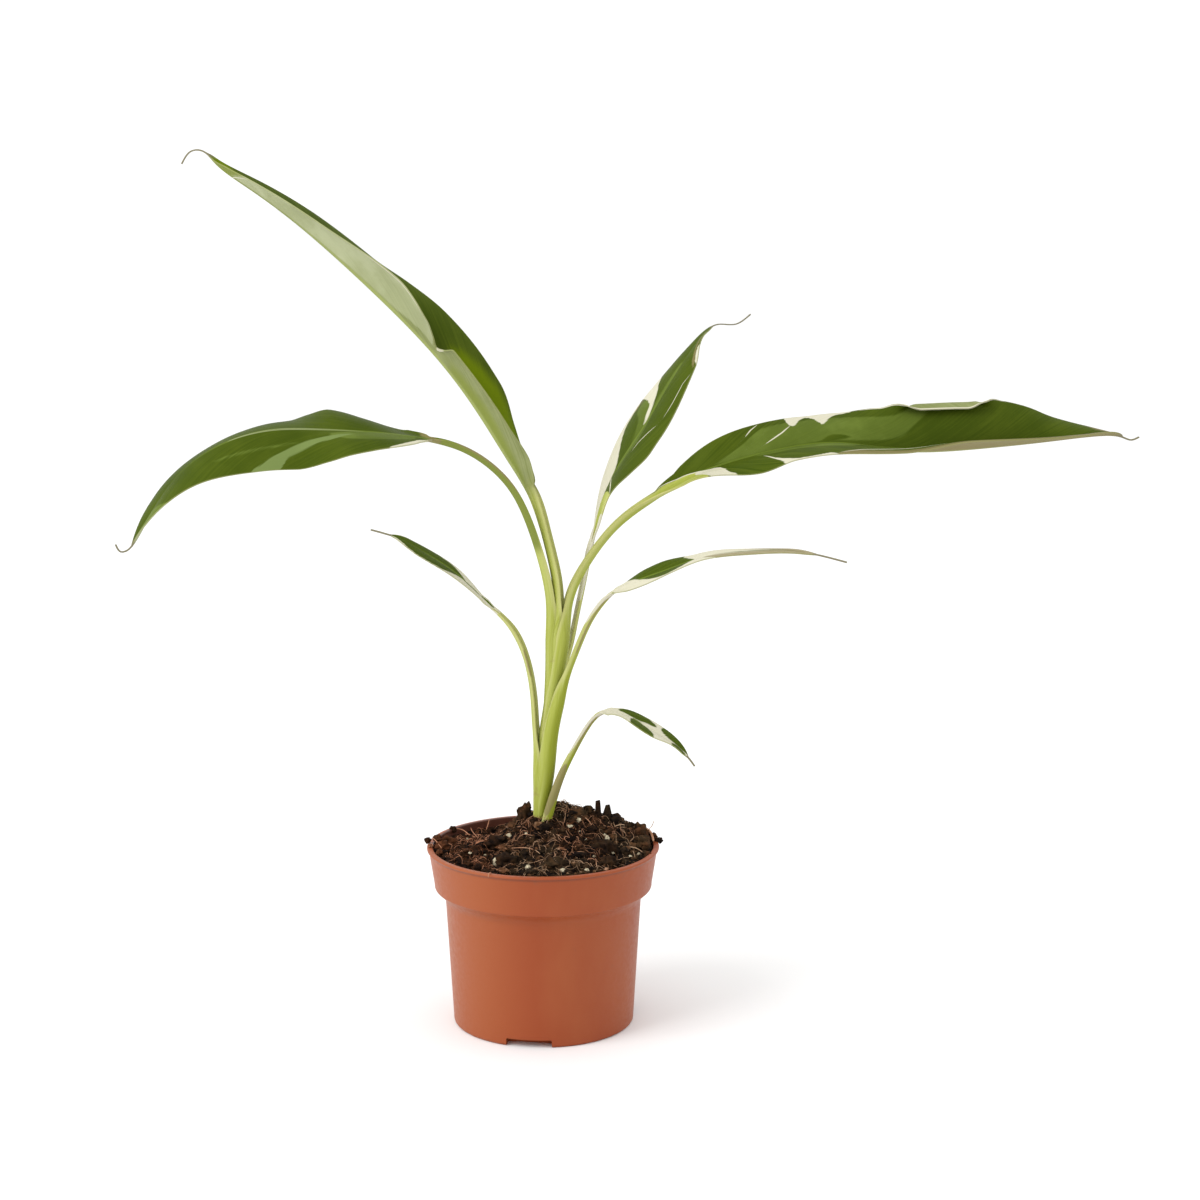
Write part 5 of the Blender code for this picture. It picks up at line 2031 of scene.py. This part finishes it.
LONG_FIBRES = (
    ((-24.5, 15.9, 46.6), (-21.9, 14.0, 46.9), (-19.6, 8.0, 47.2), (-17.4, 2.9, 47.9)),
    ((-19.6, 17.8, 46.3), (-18.6, 10.0, 47.2), (-16.8, 2.0, 47.9)),
    ((-7.9, -10.9, 48.9), (-4.3, -12.0, 49.3), (-1.9, -13.6, 49.2), (-0.4, -15.7, 48.8)),
    ((-7.3, -1.4, 51.2), (-6.2, -2.8, 52.3), (-4.6, -3.8, 52.2)),
    ((-14.9, 23.4, 47.0), (-15.2, 21.0, 46.1), (-15.6, 19.0, 45.3)),
    ((7.4, -0.9, 55.6), (9.6, -0.4, 54.8), (11.9, -1.5, 53.4), (12.9, -4.2, 51.7)),
    ((18.4, -0.6, 51.7), (19.9, 0.2, 52.0), (21.2, 0.6, 51.8)),
    ((21.7, -7.2, 48.2), (23.8, -7.2, 47.9), (25.7, -7.9, 46.9)),
    ((13.6, -16.8, 47.7), (13.8, -18.2, 47.0), (13.9, -19.8, 46.5)),
    ((-28.7, 1.0, 48.2), (-27.6, -2.0, 48.3), (-25.9, -5.4, 47.3)),
    ((27.4, 4.2, 49.6), (28.3, 4.8, 50.6), (28.7, 5.0, 51.8)),
    ((-12.4, -26.0, 47.0), (-12.9, -27.4, 47.1), (-13.0, -28.7, 46.5)),
    ((-28.6, -4.6, 47.6), (-28.4, -2.6, 47.4), (-28.9, -0.6, 47.3)),
)
PALE_CHIP = ((24.6, 6.6, 49.1), (26.9, 5.4, 49.3), (28.2, 3.4, 48.3), (28.5, 1.0, 47.3))


class Pile:
    """A growing heap of small shapes that becomes one mesh with a tone on every vertex."""

    full = 4000

    def __init__(self, name: str) -> None:
        """Start an empty pile.

        Args:
            name: the name of its mesh.
        """
        self.name = name
        self.layers: list[bpy.types.Mesh] = []
        self.start_layer()

    def start_layer(self) -> None:
        """Start a fresh small mesh, since adding to a large one is slow."""
        self.shape = bmesh.new()
        self.tone = self.shape.verts.layers.float.new("tone")

    def settle(self) -> None:
        """Put the current layer aside once it is full."""
        if len(self.shape.verts) > self.full:
            self.layers.append(mesh_of(self.shape, self.name))
            self.start_layer()

    def piece(self, material: bpy.types.Material, *nodes: str,
              smooth: bool = True) -> bpy.types.Object:
        """Join all the layers to one piece of the soil.

        Args:
            material: its material.
            nodes: the solids that it stands for.
            smooth: whether its faces are shaded smooth.

        Returns:
            The finished piece.
        """
        self.layers.append(mesh_of(self.shape, self.name))
        whole = bmesh.new()
        for layer in self.layers:
            whole.from_mesh(layer)
            bpy.data.meshes.remove(layer)
        made = new_object(self.name, mesh_of(whole, self.name))
        made.data.materials.append(material)
        if smooth:
            made.data.shade_smooth()
        return put_on(made, Slot.SOIL, *nodes)


@dataclass(frozen=True)
class PottingMix:
    """Dark potting mix, whose tone on each crumb runs from black through brown to tan.

    Attributes:
        black: the colour of tone 0.
        dark: the colour of a tone of about a third.
        brown: the colour of a tone of about two thirds.
        tan: the colour of tone 1.
        red: the tinge of its reddish areas.
        roughness: the roughness.
    """

    black: Colour = (0.006, 0.0035, 0.0025)
    dark: Colour = (0.034, 0.020, 0.009)
    brown: Colour = (0.11, 0.054, 0.024)
    tan: Colour = (0.50, 0.33, 0.21)
    red: Colour = (0.88, 0.44, 0.34)
    roughness: float = 0.9

    def build(self) -> bpy.types.Material:
        """Mix the material.

        Returns:
            The material.
        """
        sketch = Sketch("potting_mix")
        place = sketch.object_place()
        cloud = sketch.spread(sketch.grain(place, 700.0), 0.25, 0.75, -0.18, 0.18)
        colour = sketch.ramp(sketch.plus(sketch.attribute("tone"), cloud), (
            (0.0, self.black), (0.3, self.dark), (0.62, self.brown), (1.0, self.tan)))
        blotches = sketch.spread(sketch.grain(place, 110.0, 2.0), 0.42, 0.62, 0.0, 0.5)
        aside = sketch.spread(sketch.axis(place, "X"), -16.0 * MM, -3.0 * MM, 0.65, 0.0)
        reddish = sketch.higher(blotches, aside)
        colour = sketch.mix(reddish, colour, self.red, blend="MULTIPLY")
        sketch.bump(sketch.grain(place, 1600.0), 0.2, 0.8)
        return sketch.finish(colour, self.roughness, specular=0.08)


@dataclass(frozen=True)
class PerliteWhite:
    """Pale yellowish volcanic grains, pitted and dusty.

    Attributes:
        clean: their colour.
        dusty: the colour of their pits.
        roughness: the roughness.
    """

    clean: Colour = (0.60, 0.53, 0.37)
    dusty: Colour = (0.28, 0.22, 0.14)
    roughness: float = 0.85

    def build(self) -> bpy.types.Material:
        """Mix the material.

        Returns:
            The material.
        """
        sketch = Sketch("perlite_white")
        pits = sketch.grain(sketch.object_place(), 1500.0)
        colour = sketch.mix(sketch.spread(pits, 0.35, 0.6), self.dusty, self.clean)
        sketch.bump(pits, 0.25, 0.8)
        return sketch.finish(colour, self.roughness, specular=0.3)


@dataclass(frozen=True)
class Soil:
    """The heaped soil and everything loose on it.

    Attributes:
        edge_z: the height of its surface at the pot's wall.
        top_radius: its radius there.
        shoulder_radius: its radius at the foot of the rim.
        side_radius: its radius at the pot's floor.
        neck_radius: its radius under the rim.
        bottom_z: the height of its base.
        roughness: how high its broad bumps rise.
        grain: how wide they are.
        bumps: the (fineness, level, share) of the noise that makes them.
        rim_radius: the radius at which its heap has run out.
        rings: how many rings its top has.
        steps: how many steps each ring has.
        ripples: the (width, height) of its finer bumps.
        lump_ripples: the (fineness, share) of the noise that roughens a lump.
        shade: the tone of its surface and of the splinters.
        shade_range: how far that tone wanders.
        crumbs: how many small crumbs lie on it.
        big_crumbs: how many larger ones.
        crumb_sizes: the least and greatest half size of the small crumbs.
        big_crumb_sizes: the same for the larger ones.
        fibres: how many short fibres lie on it.
        fibre_points: how many points the route of one has.
        fibre_radii: the least and greatest radius of one.
        long_fibre_radius: the radius of the long fibres.
        chip_radius: the radius of the pale chip.
        segment: the length of one segment of a fibre.
        strand_sides: how many sides a fibre has.
        seed: which of the random layouts it takes.
        swells: its broad rises and hollows.
    """

    edge_z: float = 45.4
    top_radius: float = 28.1
    shoulder_radius: float = 26.6
    side_radius: float = 22.1
    neck_radius: float = 24.0
    bottom_z: float = 3.5
    roughness: float = 0.9
    grain: float = 5.0
    bumps: tuple[Point, ...] = ((1.0, 3.7, 1.0), (2.3, 9.1, 0.6))
    rim_radius: float = 29.4
    rings: int = 100
    steps: int = 230
    ripples: tuple[tuple[float, float], ...] = ((2.6, 0.9), (1.2, 0.7), (0.55, 0.35))
    lump_ripples: tuple[tuple[float, float], ...] = ((1.7, 1.0), (4.5, 0.5))
    shade: float = 0.12
    shade_range: float = 0.3
    crumbs: int = 2400
    big_crumbs: int = 260
    crumb_sizes: tuple[float, float] = (0.25, 0.75)
    big_crumb_sizes: tuple[float, float] = (0.75, 1.5)
    fibres: int = 1050
    fibre_points: int = 5
    fibre_radii: tuple[float, float] = (0.04, 0.085)
    long_fibre_radius: float = 0.13
    chip_radius: float = 0.42
    segment: float = 0.45
    strand_sides: int = 4
    seed: int = 7
    swells: tuple[Swell, ...] = (
        Swell(0.0, 0.0, 6.6, 12.0),
        Swell(7.0, 6.0, 5.6, 12.0),
        Swell(21.0, 3.0, 5.0, 9.0),
        Swell(6.0, -15.0, 2.4, 9.0),
        Swell(-19.0, -7.0, 2.2, 8.0),
        Swell(-14.0, 19.0, -3.2, 9.0),
    )

    def relief(self, x: float, y: float) -> float:
        """Find the height of the soil's broad surface.

        Args:
            x: the place in plan.
            y: the place in plan.

        Returns:
            The height.
        """
        rise = 0.0
        for swell in self.swells:
            distance = math.hypot(x - swell.x, y - swell.y) / swell.reach
            rise += swell.height * math.exp(-distance * distance)
        for fineness, level, share in self.bumps:
            place = Vector((fineness * x / self.grain, fineness * y / self.grain, level))
            rise += self.roughness * share * noise.noise(place)
        return self.edge_z + rise * (1.0 - (math.hypot(x, y) / self.rim_radius) ** 8)

    def crumble(self, x: float, y: float) -> float:
        """Find the crumbly surface's height over the broad one.

        Args:
            x: the place in plan.
            y: the place in plan.

        Returns:
            The height, which fades out at the pot's wall.
        """
        height = 0.0
        for size, depth in self.ripples:
            height += depth * noise.noise(Vector((x / size, y / size, size)))
        reach = math.hypot(x, y)
        return height * (1.0 - smooth_step(self.shoulder_radius, self.top_radius, reach))

    def add_bed(self, pile: Pile) -> None:
        """Add the crumbly top and the plug that fills the pot.

        Args:
            pile: the mesh that grows.
        """
        # Down inside the pot's wall to its floor, as (radius, height).
        flank = ((self.top_radius, self.edge_z - 1.2), (self.shoulder_radius, 37.9),
                 (self.neck_radius, 36.9), (self.neck_radius, 34.4), (self.side_radius, 4.3),
                 (self.side_radius - 0.8, self.bottom_z), (0.0, self.bottom_z))
        radii = [self.top_radius * ring / self.rings for ring in range(self.rings + 1)]
        radii += [radius for radius, _ in flank]
        rows = len(radii) - 1
        grid = bmesh.ops.create_grid(pile.shape, x_segments=self.steps, y_segments=rows,
                                     size=1.0)
        for vertex in grid["verts"]:
            ring = round((vertex.co.y + 1.0) / 2.0 * rows)
            turn = (vertex.co.x + 1.0) * math.pi
            x = radii[ring] * math.cos(turn)
            y = radii[ring] * math.sin(turn)
            if ring <= self.rings:
                z = self.relief(x, y) + self.crumble(x, y)
            else:
                z = flank[ring - self.rings - 1][1]
            place = Vector((x, y, z))
            vertex.co = place * MM
            vertex[pile.tone] = self.shade + self.shade_range * noise.noise(place * 0.35)
        bmesh.ops.remove_doubles(pile.shape, verts=pile.shape.verts, dist=0.004 * MM)
        bmesh.ops.recalc_face_normals(pile.shape, faces=pile.shape.faces)
        pile.settle()

    def add_lump(self, pile: Pile, lump: Lump, subdivisions: int, ruggedness: float,
                 seed: float) -> None:
        """Add one rough lump.

        Args:
            pile: the mesh that grows.
            lump: the lump's place and sizes.
            subdivisions: how finely its ball is divided.
            ruggedness: how far its surface strays from the ball, as a share of its radius.
            seed: which of the random forms it takes.
        """
        ball = bmesh.ops.create_icosphere(pile.shape, subdivisions=subdivisions, radius=1.0)
        turn = Matrix.Rotation(math.radians(lump.turn), 3, "Z")
        height = self.relief(lump.x, lump.y) + lump.lift
        centre = Vector((lump.x, lump.y, height))
        shift = Vector((seed * 3.1, seed * 1.7, 0.0))
        for vertex in ball["verts"]:
            swell = sum(share * noise.noise(vertex.co * fineness + shift)
                        for fineness, share in self.lump_ripples)
            place = vertex.co * (1.0 + ruggedness * swell)
            place = Vector((place.x * lump.half_x, place.y * lump.half_y, place.z * lump.half_z))
            vertex.co = (centre + turn @ place) * MM
            vertex[pile.tone] = lump.tone
        pile.settle()

    def add_splinter(self, pile: Pile, splinter: Splinter) -> None:
        """Add one pointed splinter of bark.

        Args:
            pile: the mesh that grows.
            splinter: the splinter's place and sizes.
        """
        cone = bmesh.ops.create_cone(pile.shape, cap_ends=True, segments=9,
                                     radius1=splinter.radius * MM,
                                     radius2=splinter.blunt * splinter.radius * MM,
                                     depth=splinter.height * MM)
        middle = self.relief(splinter.x, splinter.y) - splinter.sunk + splinter.height / 2.0
        lean = Matrix.Rotation(math.radians(splinter.lean), 4, "Y")
        place = Matrix.Translation(Vector((splinter.x, splinter.y, middle)) * MM)
        for vertex in cone["verts"]:
            vertex.co *= 1.0 + 0.12 * noise.noise(vertex.co / MM * 1.3)
            vertex[pile.tone] = self.shade
        bmesh.ops.transform(pile.shape, matrix=place @ lean, verts=cone["verts"])
        pile.settle()

    def add_strand(self, pile: Pile, route: Sequence[Point], radius: float,
                   brightness: float) -> None:
        """Add one thin fibre as a tube that tapers to both ends.

        Args:
            pile: the mesh that grows.
            route: points along the fibre.
            radius: its radius at the middle.
            brightness: its tone.
        """
        line = SmoothLine.through(route, self.segment)
        count = len(line.lengths) - 1
        tangents = np.gradient(line.places[:, :3], axis=0)
        grid = bmesh.ops.create_grid(pile.shape, x_segments=self.strand_sides,
                                     y_segments=count, size=1.0)
        for vertex in grid["verts"]:
            step = round((vertex.co.y + 1.0) / 2.0 * count)
            angle = (vertex.co.x + 1.0) * math.pi
            along = Vector(tangents[step]).normalized()
            across = along.cross(Vector((0.31, 0.17, 0.94))).normalized()
            outwards = across * math.cos(angle) + along.cross(across) * math.sin(angle)
            thin = 0.35 + 0.65 * math.sqrt(1.0 - (2.0 * step / count - 1.0) ** 2)
            vertex.co = (Vector(line.places[step][:3]) + outwards * (radius * thin)) * MM
            vertex[pile.tone] = brightness
        bmesh.ops.remove_doubles(pile.shape, verts=grid["verts"], dist=0.001 * MM)
        pile.settle()

    def spot(self, chance: Random, reach: float) -> tuple[float, float]:
        """Draw a random place in plan.

        Args:
            chance: the source of the draws.
            reach: how far from the axis it may lie.

        Returns:
            The place.
        """
        radius = reach * math.sqrt(chance.random())
        turn = chance.uniform(0.0, 2.0 * math.pi)
        return radius * math.cos(turn), radius * math.sin(turn)

    def body(self, mix: bpy.types.Material) -> bpy.types.Object:
        """Make the bed with its clods and splinters.

        Args:
            mix: the soil's material.

        Returns:
            The finished piece.
        """
        pile = Pile("soil_body")
        self.add_bed(pile)
        for number, lump in enumerate(CLODS):
            self.add_lump(pile, lump, 4, 0.55, number)
        for splinter in SPLINTERS:
            self.add_splinter(pile, splinter)
        return pile.piece(mix, "soil")

    def loose_crumbs(self, mix: bpy.types.Material) -> bpy.types.Object:
        """Scatter crumbs of bark, peat and coir over the soil.

        Args:
            mix: their material.

        Returns:
            The finished piece.
        """
        chance = Random(self.seed)
        pile = Pile("soil_crumbs")
        for number in range(self.crumbs + self.big_crumbs):
            big = number >= self.crumbs
            size = chance.uniform(*(self.big_crumb_sizes if big else self.crumb_sizes))
            x, y = self.spot(chance, self.top_radius - size)
            flat = chance.uniform(0.45, 1.0)
            brightness = min(0.85, max(0.0, chance.gauss(0.22, 0.2)))
            lump = Lump(x, y, self.crumble(x, y) + 0.25 * size, size, size * flat,
                        size * chance.uniform(0.4, 0.8), chance.uniform(0.0, 360.0), brightness)
            self.add_lump(pile, lump, 2 if big else 1, 0.6, number)
        for number, lump in enumerate(RIM_CLODS):
            self.add_lump(pile, lump, 3, 0.5, number)
        return pile.piece(mix, smooth=False)

    def fibre_route(self, chance: Random) -> list[Point]:
        """Draw the route of a short fibre over the soil.

        Args:
            chance: the source of the draws.

        Returns:
            The points of its route.
        """
        x, y = self.spot(chance, self.top_radius - 2.5)
        heading = chance.uniform(0.0, 2.0 * math.pi)
        lift = chance.uniform(0.1, 0.5)
        arch = chance.uniform(0.0, 0.9)
        hop = chance.uniform(0.5, 1.3)
        furthest = self.top_radius - 0.6
        route = []
        for step in range(self.fibre_points):
            height = self.relief(x, y) + self.crumble(x, y) + lift
            height += arch * math.sin(math.pi * step / (self.fibre_points - 1))
            route.append((x, y, height))
            heading += chance.gauss(0.0, 0.7)
            x += hop * math.cos(heading)
            y += hop * math.sin(heading)
            reach = math.hypot(x, y)
            if reach > furthest:
                x *= furthest / reach
                y *= furthest / reach
        return route

    def loose_fibres(self, mix: bpy.types.Material) -> bpy.types.Object:
        """Lay coir fibres over the soil.

        Args:
            mix: their material.

        Returns:
            The finished piece.
        """
        chance = Random(self.seed + 1)
        pile = Pile("soil_fibres")
        for _ in range(self.fibres):
            route = self.fibre_route(chance)
            brightness = min(1.0, max(0.35, chance.gauss(0.8, 0.18)))
            self.add_strand(pile, route, chance.uniform(*self.fibre_radii), brightness)
        for route in LONG_FIBRES:
            self.add_strand(pile, route, self.long_fibre_radius, 1.0)
        self.add_strand(pile, PALE_CHIP, self.chip_radius, 1.0)
        return pile.piece(mix)

    def perlite(self, white: bpy.types.Material) -> bpy.types.Object:
        """Set the perlite grains.

        Args:
            white: their material.

        Returns:
            The finished piece.
        """
        pile = Pile("perlite_grains")
        for number, lump in enumerate(PERLITE):
            self.add_lump(pile, lump, 3, 0.35, number + 20.0)
        return pile.piece(white)

    def build(self, mix: bpy.types.Material, white: bpy.types.Material) -> None:
        """Make the soil and everything loose on it.

        Args:
            mix: the material of soil, crumbs and fibres.
            white: the material of the perlite.
        """
        self.body(mix)
        self.loose_crumbs(mix)
        self.loose_fibres(mix)
        self.perlite(white)


# Studio

@dataclass(frozen=True)
class Studio:
    """The floor, the light and the camera.

    Attributes:
        camera_place: where the camera stands, in millimetres.
        camera_pitch: how far it looks down, in degrees.
        lens: its focal length.
        sensor: the width of its sensor.
        clip: the nearest and furthest distance that it sees, in metres.
        floor_tone: the brightness of the floor.
        floor_reach: half the floor's side in metres.
        floor_roughness: its roughness.
        sky: the strength of the light from all around.
        key_place: where the soft light hangs, in metres.
        key_aim: the point that it faces.
        key_size: the side of its square.
        key_power: its power in watts.
    """

    camera_place: Point = (14.7, -650.0, 231.9)
    camera_pitch: float = 10.53
    lens: float = 78.06
    sensor: float = 36.0
    clip: tuple[float, float] = (0.01, 20.0)
    floor_tone: float = 0.9
    floor_reach: float = 6.0
    floor_roughness: float = 0.9
    sky: float = 1.12
    key_place: Point = (-1.1, -0.7, 1.1)
    key_aim: Point = (0.0, 0.0, 0.1)
    key_size: float = 0.9
    key_power: float = 14.0

    def camera(self) -> None:
        """Set the camera at the photograph's viewing angle."""
        data = bpy.data.cameras.new("camera")
        data.lens = self.lens
        data.sensor_width = self.sensor
        data.clip_start, data.clip_end = self.clip
        camera = bpy.data.objects.new("camera", data)
        camera.location = Vector(self.camera_place) * MM
        camera.rotation_euler = (math.radians(90.0 - self.camera_pitch), 0.0, 0.0)
        bpy.context.scene.collection.objects.link(camera)
        bpy.context.scene.camera = camera

    def floor(self) -> None:
        """Lay a plain pale floor."""
        shape = bmesh.new()
        bmesh.ops.create_grid(shape, x_segments=2, y_segments=2, size=self.floor_reach)
        made = new_object("floor", mesh_of(shape, "floor"))
        tone = (self.floor_tone, self.floor_tone, self.floor_tone)
        finish = Sketch("floor_white").finish(tone, self.floor_roughness, specular=0.1)
        made.data.materials.append(finish)

    def key(self) -> None:
        """Hang the square soft light."""
        data = bpy.data.lights.new("key", "AREA")
        data.size = self.key_size
        data.energy = self.key_power
        lamp = bpy.data.objects.new("key", data)
        lamp.location = self.key_place
        aim = Vector(self.key_aim) - Vector(self.key_place)
        lamp.rotation_euler = aim.to_track_quat("-Z", "Y").to_euler()
        bpy.context.scene.collection.objects.link(lamp)

    def surroundings(self) -> None:
        """Light the scene evenly from all around."""
        world = bpy.data.worlds.new("studio")
        world.use_nodes = True
        shade = world.node_tree.nodes["Background"]
        shade.inputs["Color"].default_value = (1.0, 1.0, 1.0, 1.0)
        shade.inputs["Strength"].default_value = self.sky
        bpy.context.scene.world = world

    def build(self) -> None:
        """Set up the whole studio."""
        bpy.context.scene.view_settings.view_transform = "Standard"
        self.surroundings()
        self.floor()
        self.key()
        self.camera()


def main() -> None:
    """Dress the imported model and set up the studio."""
    logging.basicConfig(level=logging.INFO, format="%(name)s: %(message)s")
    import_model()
    Pot().build(PotPlastic().build())
    Soil().build(PottingMix().build(), PerliteWhite().build())
    Foliage().build(FACE.build(), BACK.build(), StemSkin().build())
    Studio().build()


if __name__ == "__main__":
    main()
